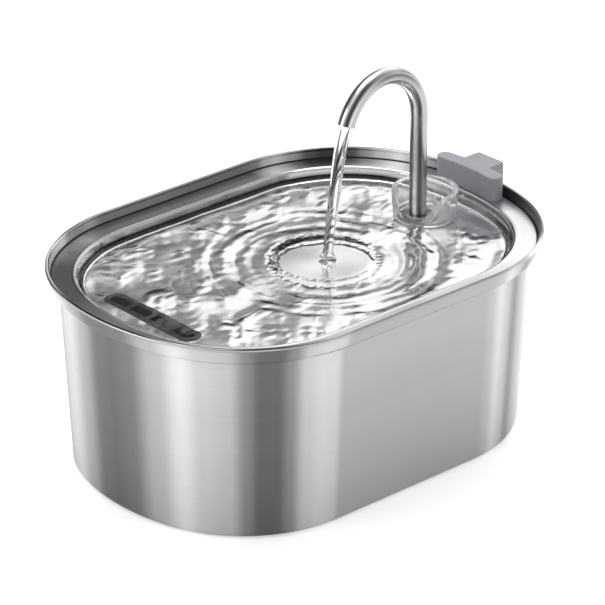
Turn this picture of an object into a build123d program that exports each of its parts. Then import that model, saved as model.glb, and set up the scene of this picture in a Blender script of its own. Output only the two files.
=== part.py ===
from build123d import *
import math
import os

# A pet water fountain: an oval steel tank with a steel tray on top, a pump in a filter
# box on the tank's floor, and a bent faucet that pours back into the tray.
# Millimetres. +Z is up, +X runs towards the faucet's end, and the origin is the middle
# of the tank's underside. An "inset" is a distance inwards from the rim's outline.

# ---- Rim outline, seen from above ------------------------------------------------
RIM_HALF_LENGTH = 129.0
RIM_HALF_WIDTH = 93.6
CORNER_RADIUS = 80.9
CORNER_X = 46.3

# ---- Tank --------------------------------------------------------------------------
SHEET = 1.0
RIM_TOP = 107.5
HEM_RADIUS = 1.0
SHOULDER_Z = 98.9
SHOULDER_INSET = 3.0
BODY_INSET_TOP = 6.95
BODY_INSET_BOTTOM = 11.9
FOOT_RING_Z = 0.4
FLOOR_RECESS = 1.8
RECESS_INSET = 21.2
RECESS_BEND = 0.6
BOTTOM_BEND = 3.0
PAD_INSET = 24.6
RING_REACH = 5.0
PLATE_REACH = 4.0

# ---- Tray --------------------------------------------------------------------------
TRAY_SHEET = 0.8
FLANGE_TOP = 101.9
FLANGE_INSET = 3.75
FLANGE_INNER_INSET = 13.0
BEAD_INSET = 14.1
BEAD_RISE = 0.45
BASIN_TOP_INSET = 15.2
BASIN_INSET = 17.4
TRAY_FLOOR_TOP = 94.0
BEAD_BEND = 0.8
BASIN_BEND = 2.4
GASKET_SEAT_INSET = 7.45
GASKET_SEAT_OUTER = 4.4
GASKET_CHAMFER = 1.3
GASKET_GAP = 0.45
GASKET_LAP = 0.05
GASKET_PROUD = 0.1
CORD_NOTCH_WIDTH = 8.0
CORD_NOTCH_X = 122.6

# ---- Drain slot and strainer ---------------------------------------------------------
SLOT_X = -93.6
SLOT_LENGTH = 63.4
SLOT_WIDTH = 9.2
STRAINER_LENGTH = 66.4
STRAINER_WIDTH = 12.2
STRAINER_SNAP = 1.0
STRAINER_LIP = 0.6
STRAINER_DEPTH = 2.4
STRAINER_WALL = 1.4
STRAINER_GAP = 0.2
STRAINER_BARS = 3
STRAINER_BAR_WIDTH = 2.2

# ---- Faucet ------------------------------------------------------------------------
FAUCET_X = 82.7
FAUCET_RADIUS = 4.5
FAUCET_WALL = 0.8
FAUCET_BOTTOM = 88.5
FAUCET_BEND_Z = 152.9
FAUCET_BEND_RADIUS = 28.8
FAUCET_BEND_SWEEP = 158.0
FAUCET_TURN = 5.7
FIT_GAP = 0.05

# ---- Splash guard, a clear moulding --------------------------------------------------
GUARD_X = 87.5
GUARD_FOOT_RADIUS = 15.9
GUARD_RIM_RADIUS = 17.3
GUARD_WALL = 2.8
GUARD_TOP = 110.6
GUARD_BASE_THICKNESS = 1.6
GUARD_OPENING_TURN = 195.5
SWEEP_CREST_REACH = 2.0
SWEEP_CREST_HANDLE = 10.0
SWEEP_FOOT_HANDLE = 9.0
SWEEP_FOOT_REACH = 13.5
SWEEP_FOOT_RISE = 5.6
SOCKET_FOOT_RADIUS = 7.2
SOCKET_TOP_RADIUS = 6.6
SOCKET_TOP = 97.6
NECK_RADIUS = 6.0
NECK_BOTTOM = 86.5
SPIGOT_RADIUS = 4.75
SPIGOT_BORE = 3.4
SPIGOT_BOTTOM = 78.0
O_RING_SECTION = 0.7
O_RING_Z = 96.1

# ---- Tray grommet ----------------------------------------------------------------
OUTLET_HOLE_RADIUS = 8.0
GROMMET_FLANGE_RADIUS = 10.5
GROMMET_LIP = 0.8

# ---- Grey cord block over the rim ------------------------------------------------
BLOCK_HALF_WIDTH = 22.3
BLOCK_FRONT_INSET = 12.4
BLOCK_BACK_INSET = 3.9
BLOCK_TOP = 114.5
BLOCK_CORNER = 4.0
BLOCK_EDGE = 0.6
BLOCK_WALL = 1.8
STUB_HALF_WIDTH = 9.5
STUB_END_X = 135.3
STUB_CORNER = 1.6
STUB_LAP = 3.0
HOOK_BOTTOM = 102.5
RIM_GAP = 0.7
GLAND_GAP = 0.3
GLAND_RISE = 0.5
CORD_RADIUS = 1.4

# ---- Filter box on the tank's floor -------------------------------------------------
BOX_X_MIN = -24.0
BOX_X_MAX = 107.0
BOX_HALF_WIDTH = 48.0
BOX_CORNER = 18.0
BOX_WALL = 2.0
BOX_TOP = 50.0
LID_THICKNESS = 2.4
LID_SKIRT_DEPTH = 4.0
LID_SKIRT_WALL = 1.6
LID_SKIRT_GAP = 0.3
LID_HOLE_RADIUS = 9.0
CARTRIDGE_X = 4.0
CARTRIDGE_LENGTH = 46.0
CARTRIDGE_WIDTH = 68.0
CARTRIDGE_HEIGHT = 9.0
CARTRIDGE_WALL = 1.4
CARTRIDGE_FLOOR = 1.2
CARTRIDGE_COVER = 1.4
CARTRIDGE_CORNER = 2.0
GRILLE_MARGIN = 4.0
CARTRIDGE_SLOTS = 7
CARTRIDGE_BAR = 1.6
PAD_GAP = 0.2
PAD_HEIGHT = 5.0
WELL_GAP = 0.4
WELL_BOTTOM = 44.0
WELL_WALL = 1.6
WELL_CORNER = 2.0
WELL_SLOTS = 5
WELL_BAR = 2.0
FOAM_X_MIN = 30.3
FOAM_X_MAX = 41.7
FOAM_TOP = 45.6
FOAM_GAP = 0.4
FOAM_CORNER = 1.5
FOAM_RIB_TOP = 43.5
FOAM_RIB_THICKNESS = 1.6
FOAM_RIB_DEPTH = 4.0
LID_DIVIDER_X = 35.0
LID_DIVIDER_WALL = 2.0

# ---- Pump; its rotor axis runs along Y ---------------------------------------------
PUMP_X = 73.7
AXIS_Z = 27.0
MOTOR_WIDTH = 40.0
MOTOR_BOTTOM = 10.2
MOTOR_TOP = 44.0
MOTOR_WALL = 2.0
MOTOR_CORNER = 3.0
MOTOR_BACK_Y = 30.0
VOLUTE_FRONT_Y = -6.0
VOLUTE_BACK_Y = 6.0
VOLUTE_RADIUS = 17.0
CHAMBER_RADIUS = 14.5
CHAMBER_BACK_Y = 3.5
CAN_BORE = 7.6
CAN_WALL = 1.2
CAN_INNER_END_Y = 21.0
CAN_END_Y = 24.2
NOZZLE_TOP = 60.0
NOZZLE_BOSS_TOP = 47.0
NOZZLE_BOSS_RADIUS = 5.9
NOZZLE_BOSS_BOTTOM = 30.0
SHAFT_RADIUS = 1.0
SHAFT_FRONT_Y = -8.0
BUSH_POCKET_RADIUS = 3.0
BUSH_POCKET_DEPTH = 2.2
BACK_COVER_THICKNESS = 2.5
PUMP_GLAND_X = 63.7
PUMP_GLAND_Z = 36.0
PUMP_GLAND_RADIUS = 3.0
CUP_STEM_RADIUS = 1.45
CUP_STEM_HEIGHT = 1.3
CUP_PITCH = 14.0
CUP_Y = (11.0, 25.0)

STATOR_RADIUS = 14.6
STATOR_YOKE_BORE = 12.6
STATOR_POLE_BORE = 9.1
STATOR_FRONT_Y = 8.0
STATOR_BACK_Y = 20.0
POLE_WIDTH = 5.0
COIL_THICKNESS = 1.6
COIL_INNER_RADIUS = 9.5
COIL_OUTER_RADIUS = 11.7
POLES = 4

IMPELLER_RADIUS = 12.5
IMPELLER_BLADES = 6
BLADE_FRONT_Y = -4.8
BLADE_THICKNESS = 1.4
WHEEL_FRONT_Y = 1.0
WHEEL_BACK_Y = 2.4
MAGNET_FRONT_Y = 4.2
MAGNET_BACK_Y = 20.2
MAGNET_RADIUS = 7.1
ROTOR_CORE_RADIUS = 3.2

COVER_FRONT_Y = -9.0
COVER_LIP_RADIUS = 14.4
COVER_LIP_BORE = 12.9
COVER_LIP_BACK_Y = -3.4
HUB_RADIUS = 4.2
FRONT_BUSH_RADIUS = 2.6
FRONT_BUSH_FRONT_Y = -8.2
FRONT_BUSH_BACK_Y = -5.4
WINDOWS = 3
WINDOW_INNER_RADIUS = 4.8
WINDOW_OUTER_RADIUS = 9.5
WINDOW_ANGLE = 56.0
DIAL_RADIUS = 11.5
DIAL_FRONT_Y = -11.4
DIAL_BACK_Y = -9.3
DIAL_PIN_RADIUS = 2.0
DIAL_HEAD_RADIUS = 3.2
DIAL_GRIPS = 18

HOSE_BORE = 4.8
HOSE_RADIUS = 6.8
HOSE_BOTTOM = 48.0
HOSE_TOP = 86.0

# ---- Worked out from the above ---------------------------------------------------
CORNER_Y = RIM_HALF_WIDTH - CORNER_RADIUS
SIDE_REACH = CORNER_X - RIM_HALF_LENGTH
END_RADIUS = (CORNER_RADIUS**2 - SIDE_REACH**2 - CORNER_Y**2) / (2 * (SIDE_REACH + CORNER_RADIUS))
END_X = RIM_HALF_LENGTH - END_RADIUS
END_ANGLE = math.degrees(math.atan2(CORNER_Y, CORNER_X - END_X))
FLOOR_BOTTOM = FOOT_RING_Z + FLOOR_RECESS
FLOOR_TOP = FLOOR_BOTTOM + SHEET
FLANGE_BOTTOM = FLANGE_TOP - TRAY_SHEET
TRAY_FLOOR_BOTTOM = TRAY_FLOOR_TOP - TRAY_SHEET
GUARD_BOTTOM = TRAY_FLOOR_TOP + GROMMET_LIP
GUARD_BASE_TOP = GUARD_BOTTOM + GUARD_BASE_THICKNESS
BOX_X = (BOX_X_MIN + BOX_X_MAX) / 2
BOX_LENGTH = BOX_X_MAX - BOX_X_MIN
PUMP_FLOOR = FLOOR_TOP + BOX_WALL
WELL_FLOOR_TOP = WELL_BOTTOM + WELL_WALL
CARTRIDGE_BOTTOM = WELL_FLOOR_TOP + 0.1
BACK_COVER_Y = MOTOR_BACK_Y + BACK_COVER_THICKNESS
CUP_PLACES = [(PUMP_X + x, y) for x in (-CUP_PITCH, CUP_PITCH) for y in CUP_Y]


# ---- Shapes used more than once ----------------------------------------------------
def outline(inset):
    """Closed wire of the rim's outline at z = 0, moved inwards, from the front's middle."""
    end_r = END_RADIUS - inset
    corner_r = CORNER_RADIUS - inset
    side = RIM_HALF_WIDTH - inset
    turn = 90 - END_ANGLE
    edges = [
        Line((0, -side), (CORNER_X, -side)),
        CenterArc((CORNER_X, -CORNER_Y), corner_r, 270, turn),
        CenterArc((END_X, 0), end_r, -END_ANGLE, 2 * END_ANGLE),
        CenterArc((CORNER_X, CORNER_Y), corner_r, END_ANGLE, turn),
        Line((CORNER_X, side), (-CORNER_X, side)),
        CenterArc((-CORNER_X, CORNER_Y), corner_r, 90, turn),
        CenterArc((-END_X, 0), end_r, 180 - END_ANGLE, 2 * END_ANGLE),
        CenterArc((-CORNER_X, -CORNER_Y), corner_r, 180 + END_ANGLE, turn),
        Line((-CORNER_X, -side), (0, -side)),
    ]
    return Wire(edges)


def oval_plate(inset, bottom, top):
    """A flat plate with the rim's outline, moved inwards."""
    return Pos(0, 0, bottom) * extrude(Face(outline(inset)), top - bottom)


def section(inset, z):
    """A point of a cross-section at the middle of the front side."""
    return (inset - RIM_HALF_WIDTH, z)


def round_the_rim(drawing):
    """Carry a cross-section, drawn as (inset - half width, z), once round the outline."""
    return sweep((Plane.YZ * drawing).faces()[0], path=outline(0))


def bent_sheet(corners, bends, thickness):
    """Cross-section of bent sheet: corners are (inset, z) along the sheet's middle."""
    line = FilletPolyline(*[section(*corner) for corner in corners], radius=bends)
    return trace(line, line_width=thickness)


def rounded_block(x_size, y_size, bottom, top, corner):
    """An upright block with rounded vertical edges, centred on the Z axis."""
    return Pos(0, 0, bottom) * extrude(RectangleRounded(x_size, y_size, corner), top - bottom)


def upright(radius, bottom, top):
    """A cylinder on the Z axis."""
    return Pos(0, 0, bottom) * extrude(Circle(radius), top - bottom)


def along_y(radius, y_from, y_to, x=PUMP_X, z=AXIS_Z):
    """A cylinder along Y, on the pump's rotor axis unless another is given."""
    disc = Plane(origin=(x, y_from, z), z_dir=(0, 1, 0)) * Circle(radius)
    return extrude(disc, y_to - y_from)


def box_between(low, high):
    """A box from its lowest to its highest corner."""
    size = [b - a for a, b in zip(low, high)]
    middle = [(a + b) / 2 for a, b in zip(low, high)]
    return Pos(*middle) * Box(*size)


def stadium(length, width, bottom, top):
    """An upright plate with round ends, longest along Y."""
    return Pos(0, 0, bottom) * Rot(0, 0, 90) * extrude(SlotOverall(length, width), top - bottom)


def grille_slots(x_size, y_size, rows, bar):
    """Flat faces of the slots of a grille, running along Y, with bars between them."""
    slot = (x_size - (rows - 1) * bar) / rows
    first = -x_size / 2 + slot / 2
    places = [Pos(first + row * (slot + bar), 0) for row in range(rows)]
    return Sketch() + [place * Rectangle(slot, y_size) for place in places]


def inlet_windows(y_from, y_to):
    """The sector-shaped windows of the pump's inlet, as a tool that cuts them."""
    ring = along_y(WINDOW_OUTER_RADIUS, y_from, y_to) - along_y(WINDOW_INNER_RADIUS, y_from, y_to)
    reach = 2 * WINDOW_OUTER_RADIUS
    half = math.radians(WINDOW_ANGLE / 2)
    wedge_face = Polygon(
        (0, 0),
        (reach * math.cos(half), reach * math.sin(half)),
        (reach * math.cos(half), -reach * math.sin(half)),
        align=None,
    )
    windows = Part()
    for window in range(WINDOWS):
        turned = Rot(0, 0, 90 + window * 360 / WINDOWS) * wedge_face
        plane = Plane(origin=(PUMP_X, y_from, AXIS_Z), x_dir=(1, 0, 0), z_dir=(0, 1, 0))
        windows += ring & extrude(plane * turned, y_to - y_from)
    return windows


# ---- Tank and base pad ------------------------------------------------------------
def make_tank():
    floor_mid = FLOOR_BOTTOM + SHEET / 2
    foot_mid = FOOT_RING_Z + SHEET / 2
    corners = [
        (RECESS_INSET + RING_REACH, floor_mid),
        (RECESS_INSET + FLOOR_RECESS, floor_mid),
        (RECESS_INSET, foot_mid),
        (BODY_INSET_BOTTOM, foot_mid),
        (BODY_INSET_TOP, SHOULDER_Z),
        (SHOULDER_INSET, SHOULDER_Z),
        (HEM_RADIUS, RIM_TOP - HEM_RADIUS),
    ]
    bends = [RECESS_BEND, RECESS_BEND, BOTTOM_BEND, SHEET, SHEET]
    hem = Pos(*section(HEM_RADIUS, RIM_TOP - HEM_RADIUS)) * Circle(HEM_RADIUS)
    wall = round_the_rim(bent_sheet(corners, bends, SHEET) + hem)
    return wall + oval_plate(RECESS_INSET + PLATE_REACH, FLOOR_BOTTOM, FLOOR_TOP)


def make_base_pad():
    return oval_plate(PAD_INSET, 0, FLOOR_BOTTOM)


# ---- Tray, its gasket and its strainer -------------------------------------------
def cord_notch(bottom, top):
    """Tool for the notch that lets the cord up under the grey block."""
    half = CORD_NOTCH_WIDTH / 2
    throat = box_between((CORD_NOTCH_X, -half, bottom), (RIM_HALF_LENGTH, half, top))
    return throat + Pos(CORD_NOTCH_X, 0, 0) * upright(half, bottom, top)


def make_tray():
    flange_mid = FLANGE_TOP - TRAY_SHEET / 2
    floor_mid = TRAY_FLOOR_TOP - TRAY_SHEET / 2
    corners = [
        (FLANGE_INSET, flange_mid),
        (FLANGE_INNER_INSET, flange_mid),
        (BEAD_INSET, flange_mid + BEAD_RISE),
        (BASIN_TOP_INSET, flange_mid - 0.2),
        (BASIN_INSET, floor_mid),
        (BASIN_INSET + RING_REACH, floor_mid),
    ]
    bends = [BEAD_BEND, BEAD_BEND, BEAD_BEND, BASIN_BEND]
    tray = round_the_rim(bent_sheet(corners, bends, TRAY_SHEET))
    tray += oval_plate(BASIN_INSET + PLATE_REACH, TRAY_FLOOR_BOTTOM, TRAY_FLOOR_TOP)
    tray -= Pos(SLOT_X, 0, 0) * stadium(SLOT_LENGTH, SLOT_WIDTH, TRAY_FLOOR_BOTTOM - 1, TRAY_FLOOR_TOP + 1)
    tray -= Pos(FAUCET_X, 0, 0) * upright(OUTLET_HOLE_RADIUS, TRAY_FLOOR_BOTTOM - 1, TRAY_FLOOR_TOP + 1)
    tray -= cord_notch(FLANGE_BOTTOM - 1, FLANGE_TOP + 1)
    return tray


def make_tray_gasket():
    seat = SHOULDER_Z + SHEET / 2
    corners = [
        (GASKET_SEAT_INSET, seat),
        (GASKET_SEAT_OUTER, seat),
        (SHOULDER_INSET + GASKET_GAP, seat + GASKET_CHAMFER),
        (SHOULDER_INSET + GASKET_LAP, FLANGE_TOP + GASKET_PROUD),
        (FLANGE_INSET - GASKET_LAP, FLANGE_TOP + GASKET_PROUD),
        (FLANGE_INSET - GASKET_LAP, FLANGE_BOTTOM),
        (GASKET_SEAT_INSET, FLANGE_BOTTOM),
    ]
    ring = round_the_rim(Polygon(*[section(*corner) for corner in corners], align=None))
    return ring - cord_notch(seat - 1, FLANGE_TOP + 1)


def make_drain_strainer():
    lip_top = TRAY_FLOOR_TOP + STRAINER_LIP
    bottom = TRAY_FLOOR_TOP - STRAINER_DEPTH
    body_length = SLOT_LENGTH - 2 * STRAINER_GAP
    body_width = SLOT_WIDTH - 2 * STRAINER_GAP
    strainer = stadium(STRAINER_LENGTH, STRAINER_WIDTH, TRAY_FLOOR_TOP, lip_top)
    strainer += stadium(body_length, body_width, bottom, TRAY_FLOOR_TOP)
    strainer += stadium(
        SLOT_LENGTH + STRAINER_SNAP, SLOT_WIDTH + STRAINER_SNAP, bottom, TRAY_FLOOR_BOTTOM - 0.1
    )
    opening = stadium(
        body_length - 2 * STRAINER_WALL, body_width - 2 * STRAINER_WALL, bottom - 1, lip_top + 1
    )
    pitch = body_length / (STRAINER_BARS + 1)
    for bar in range(STRAINER_BARS):
        y = (bar - (STRAINER_BARS - 1) / 2) * pitch
        half = STRAINER_BAR_WIDTH / 2
        opening -= box_between((-body_width, y - half, bottom - 2), (body_width, y + half, lip_top + 2))
    return Pos(SLOT_X, 0, 0) * (strainer - opening)


def make_tray_grommet():
    bore = NECK_RADIUS + FIT_GAP
    bottom = TRAY_FLOOR_BOTTOM - GROMMET_LIP
    grommet = upright(GROMMET_FLANGE_RADIUS, bottom, TRAY_FLOOR_BOTTOM)
    grommet += upright(OUTLET_HOLE_RADIUS, TRAY_FLOOR_BOTTOM, TRAY_FLOOR_TOP)
    grommet += upright(GROMMET_FLANGE_RADIUS, TRAY_FLOOR_TOP, GUARD_BOTTOM)
    return Pos(FAUCET_X, 0, 0) * (grommet - upright(bore, bottom, GUARD_BOTTOM))


# ---- Splash guard, faucet and O-ring ---------------------------------------------
def make_splash_guard():
    height = GUARD_TOP - GUARD_BOTTOM
    outside = Pos(0, 0, GUARD_BOTTOM + height / 2) * Cone(GUARD_FOOT_RADIUS, GUARD_RIM_RADIUS, height)
    inside = Pos(0, 0, GUARD_BOTTOM + height / 2) * Cone(
        GUARD_FOOT_RADIUS - GUARD_WALL, GUARD_RIM_RADIUS - GUARD_WALL, height
    )
    inside -= upright(GUARD_RIM_RADIUS, GUARD_BOTTOM, GUARD_BASE_TOP)
    cup = Pos(GUARD_X, 0, 0) * (outside - inside)

    # The wall's top edge sweeps down to the base round the opening, in one easy curve.
    crest = (SWEEP_CREST_REACH, GUARD_TOP)
    foot = (SWEEP_FOOT_REACH, GUARD_BASE_TOP)
    crest_handle = (SWEEP_CREST_HANDLE, GUARD_TOP)
    foot_handle = (SWEEP_FOOT_HANDLE, GUARD_BASE_TOP + SWEEP_FOOT_RISE)
    beyond = 2 * GUARD_RIM_RADIUS
    above = GUARD_TOP + 1
    opening = make_face(
        [
            Bezier(crest, crest_handle, foot_handle, foot),
            Polyline(foot, (beyond, GUARD_BASE_TOP), (beyond, above), (crest[0], above), crest),
        ]
    )
    cutter = Pos(0, beyond, 0) * extrude(Plane.XZ * opening, 2 * beyond)
    cup -= Pos(GUARD_X, 0, 0) * Rot(0, 0, GUARD_OPENING_TURN) * cutter

    socket_height = SOCKET_TOP - GUARD_BASE_TOP
    socket = Pos(0, 0, GUARD_BASE_TOP + socket_height / 2) * Cone(
        SOCKET_FOOT_RADIUS, SOCKET_TOP_RADIUS, socket_height
    )
    neck = upright(NECK_RADIUS, NECK_BOTTOM, GUARD_BASE_TOP)
    spigot = upright(SPIGOT_RADIUS, SPIGOT_BOTTOM, NECK_BOTTOM)
    seat = FAUCET_BOTTOM - 0.3
    bore = upright(FAUCET_RADIUS + FIT_GAP, seat, SOCKET_TOP)
    waterway = upright(SPIGOT_BORE, SPIGOT_BOTTOM, seat)
    groove_radius = FAUCET_RADIUS + FIT_GAP + 2 * O_RING_SECTION
    groove = upright(groove_radius, O_RING_Z - O_RING_SECTION, O_RING_Z + O_RING_SECTION)
    fitting = Pos(FAUCET_X, 0, 0) * (socket + neck + spigot)
    return cup + fitting - Pos(FAUCET_X, 0, 0) * (bore + waterway + groove)


def make_faucet_o_ring():
    middle = FAUCET_RADIUS + FIT_GAP + O_RING_SECTION
    return Pos(FAUCET_X, 0, O_RING_Z) * Torus(middle, O_RING_SECTION)


def make_faucet():
    post = Line((0, 0, FAUCET_BOTTOM), (0, 0, FAUCET_BEND_Z))
    arc_plane = Plane(origin=(-FAUCET_BEND_RADIUS, 0, FAUCET_BEND_Z), x_dir=(1, 0, 0), z_dir=(0, -1, 0))
    bend = arc_plane * CenterArc((0, 0), FAUCET_BEND_RADIUS, 0, FAUCET_BEND_SWEEP)
    path = Wire([post, bend.edge()])
    start = Pos(0, 0, FAUCET_BOTTOM)
    outside = sweep(start * Circle(FAUCET_RADIUS), path=path)
    inside = sweep(start * Circle(FAUCET_RADIUS - FAUCET_WALL), path=path)
    return Pos(FAUCET_X, 0, 0) * Rot(0, 0, FAUCET_TURN) * (outside - inside)


# ---- Grey cord block -----------------------------------------------------------------
def block_plan(wall):
    """Plan of the block, a bar that follows the rim and a stub across it, less a wall."""
    radius = END_RADIUS - BLOCK_BACK_INSET - wall
    depth = BLOCK_FRONT_INSET - BLOCK_BACK_INSET - 2 * wall
    strip = Pos(END_X, 0) * (Circle(radius) - Circle(radius - depth))
    length = 2 * (BLOCK_HALF_WIDTH - wall)
    strip &= Pos(RIM_HALF_LENGTH, 0) * Rectangle(RIM_HALF_LENGTH, length)
    bar = fillet(strip.vertices(), BLOCK_CORNER - wall)
    stub_end = STUB_END_X - wall
    stub_start = RIM_HALF_LENGTH - BLOCK_FRONT_INSET + STUB_LAP
    stub_width = 2 * (STUB_HALF_WIDTH - wall)
    stub = Pos((stub_start + stub_end) / 2, 0) * Rectangle(stub_end - stub_start, stub_width)
    if wall == 0:
        outer_corners = stub.vertices().sort_by(Axis.X)[-2:]
        stub = fillet(outer_corners, STUB_CORNER)
    return bar + stub


def make_cord_block():
    block = Pos(0, 0, FLANGE_TOP) * extrude(block_plan(0), BLOCK_TOP - FLANGE_TOP)
    block = fillet(block.faces().sort_by(Axis.Z)[-1].edges(), BLOCK_EDGE)
    cavity_top = BLOCK_TOP - BLOCK_WALL
    block -= Pos(0, 0, FLANGE_TOP - 1) * extrude(block_plan(BLOCK_WALL), cavity_top - FLANGE_TOP + 1)
    rim_zone = oval_plate(-RIM_GAP, FLANGE_TOP - 1, RIM_TOP + RIM_GAP)
    rim_zone -= oval_plate(BLOCK_BACK_INSET, FLANGE_TOP - 2, RIM_TOP + 2)
    block -= rim_zone
    hook_x = RIM_HALF_LENGTH + RIM_GAP
    under_hook = box_between(
        (hook_x - 1, -BLOCK_HALF_WIDTH, FLANGE_TOP - 1), (STUB_END_X + 1, BLOCK_HALF_WIDTH, HOOK_BOTTOM)
    )
    return block - under_hook


def make_cord_gland():
    inner_x = RIM_HALF_LENGTH + RIM_GAP + GLAND_GAP
    outer_x = STUB_END_X - BLOCK_WALL
    half_width = STUB_HALF_WIDTH - BLOCK_WALL
    bottom = HOOK_BOTTOM + GLAND_RISE
    gland = box_between((inner_x, -half_width, bottom), (outer_x, half_width, RIM_TOP + GLAND_RISE))
    middle_x = (inner_x + outer_x) / 2
    return gland - Pos(middle_x, 0, 0) * upright(CORD_RADIUS, HOOK_BOTTOM, RIM_TOP + 1)


# ---- Filter box, lid, cartridge and foam -------------------------------------------
def make_filter_box():
    outer = rounded_block(BOX_LENGTH, 2 * BOX_HALF_WIDTH, FLOOR_TOP, BOX_TOP, BOX_CORNER)
    inner = rounded_block(
        BOX_LENGTH - 2 * BOX_WALL,
        2 * (BOX_HALF_WIDTH - BOX_WALL),
        PUMP_FLOOR,
        BOX_TOP + 1,
        BOX_CORNER - BOX_WALL,
    )
    box = Pos(BOX_X, 0, 0) * (outer - inner)
    # Two pairs of ribs hold the foam upright.
    rib = FOAM_RIB_THICKNESS
    inner_side = BOX_HALF_WIDTH - BOX_WALL
    for x in (FOAM_X_MIN - FOAM_GAP - rib, FOAM_X_MAX + FOAM_GAP):
        for side in (1, -1):
            ends = sorted((side * (inner_side + BOX_WALL / 2), side * (inner_side - FOAM_RIB_DEPTH)))
            box += box_between((x, ends[0], PUMP_FLOOR - 0.5), (x + rib, ends[1], FOAM_RIB_TOP))
    return box


def make_filter_lid():
    lid = Pos(BOX_X, 0, 0) * rounded_block(
        BOX_LENGTH, 2 * BOX_HALF_WIDTH, BOX_TOP, BOX_TOP + LID_THICKNESS, BOX_CORNER
    )
    skirt_gap = BOX_WALL + LID_SKIRT_GAP
    skirt = rounded_block(
        BOX_LENGTH - 2 * skirt_gap,
        2 * (BOX_HALF_WIDTH - skirt_gap),
        BOX_TOP - LID_SKIRT_DEPTH,
        BOX_TOP,
        BOX_CORNER - skirt_gap,
    )
    skirt_inner = skirt_gap + LID_SKIRT_WALL
    skirt -= rounded_block(
        BOX_LENGTH - 2 * skirt_inner,
        2 * (BOX_HALF_WIDTH - skirt_inner),
        BOX_TOP - LID_SKIRT_DEPTH,
        BOX_TOP,
        BOX_CORNER - skirt_inner,
    )
    lid += Pos(BOX_X, 0, 0) * skirt
    # A cross rib closes the gap above the foam.
    reach = BOX_HALF_WIDTH - skirt_gap - 0.5
    lid += box_between(
        (LID_DIVIDER_X, -reach, BOX_TOP - LID_SKIRT_DEPTH),
        (LID_DIVIDER_X + LID_DIVIDER_WALL, reach, BOX_TOP),
    )
    well_length = CARTRIDGE_LENGTH + 2 * WELL_GAP
    well_width = CARTRIDGE_WIDTH + 2 * WELL_GAP
    shell = rounded_block(
        well_length + 2 * WELL_WALL,
        well_width + 2 * WELL_WALL,
        WELL_BOTTOM,
        BOX_TOP + 1,
        WELL_CORNER + 1,
    )
    well = rounded_block(
        well_length, well_width, WELL_FLOOR_TOP, BOX_TOP + LID_THICKNESS + 1, WELL_CORNER
    )
    lid += Pos(CARTRIDGE_X, 0, 0) * shell
    lid -= Pos(CARTRIDGE_X, 0, 0) * well
    margins = 2 * GRILLE_MARGIN
    slots = grille_slots(well_length - margins, well_width - margins, WELL_SLOTS, WELL_BAR)
    lid -= Pos(CARTRIDGE_X, 0, WELL_BOTTOM - 1) * extrude(slots, WELL_WALL + 2)
    lid -= Pos(FAUCET_X, 0, 0) * upright(LID_HOLE_RADIUS, BOX_TOP - 1, BOX_TOP + LID_THICKNESS + 1)
    return lid


def cartridge_grille():
    """The slots of the cartridge's floor and of its cover."""
    length = CARTRIDGE_LENGTH - 2 * GRILLE_MARGIN
    width = CARTRIDGE_WIDTH - 2 * GRILLE_MARGIN
    return grille_slots(length, width, CARTRIDGE_SLOTS, CARTRIDGE_BAR)


def make_cartridge_frame():
    top = CARTRIDGE_BOTTOM + CARTRIDGE_HEIGHT - CARTRIDGE_COVER
    frame = rounded_block(CARTRIDGE_LENGTH, CARTRIDGE_WIDTH, CARTRIDGE_BOTTOM, top, CARTRIDGE_CORNER)
    frame -= rounded_block(
        CARTRIDGE_LENGTH - 2 * CARTRIDGE_WALL,
        CARTRIDGE_WIDTH - 2 * CARTRIDGE_WALL,
        CARTRIDGE_BOTTOM + CARTRIDGE_FLOOR,
        top + 1,
        CARTRIDGE_CORNER / 2,
    )
    frame -= Pos(0, 0, CARTRIDGE_BOTTOM - 1) * extrude(cartridge_grille(), CARTRIDGE_FLOOR + 2)
    return Pos(CARTRIDGE_X, 0, 0) * frame


def make_carbon_pad():
    length = CARTRIDGE_LENGTH - 2 * (CARTRIDGE_WALL + PAD_GAP)
    width = CARTRIDGE_WIDTH - 2 * (CARTRIDGE_WALL + PAD_GAP)
    bottom = CARTRIDGE_BOTTOM + CARTRIDGE_FLOOR
    pad = rounded_block(length, width, bottom, bottom + PAD_HEIGHT, CARTRIDGE_CORNER / 2)
    return Pos(CARTRIDGE_X, 0, 0) * pad


def make_cartridge_cover():
    top = CARTRIDGE_BOTTOM + CARTRIDGE_HEIGHT
    seat = top - CARTRIDGE_COVER
    cover = rounded_block(CARTRIDGE_LENGTH, CARTRIDGE_WIDTH, seat, top, CARTRIDGE_CORNER)
    lip_length = CARTRIDGE_LENGTH - 2 * (CARTRIDGE_WALL + PAD_GAP)
    lip_width = CARTRIDGE_WIDTH - 2 * (CARTRIDGE_WALL + PAD_GAP)
    lip = rounded_block(lip_length, lip_width, seat - 1.2, seat, 1.0)
    lip -= rounded_block(lip_length - 2.4, lip_width - 2.4, seat - 1.2, seat, 0.5)
    cover -= Pos(0, 0, seat - 1) * extrude(cartridge_grille(), CARTRIDGE_COVER + 2)
    tab = box_between((-1.2, -7, top), (1.2, 7, top + 5))
    bridge = box_between((-3.5, -8, seat), (3.5, 8, top))
    return Pos(CARTRIDGE_X, 0, 0) * (cover + lip + bridge + tab)


def make_foam_block():
    half_width = BOX_HALF_WIDTH - BOX_WALL - FOAM_GAP
    block = box_between((FOAM_X_MIN, -half_width, PUMP_FLOOR), (FOAM_X_MAX, half_width, FOAM_TOP))
    return fillet(block.edges().filter_by(Axis.Z), FOAM_CORNER)


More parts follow.
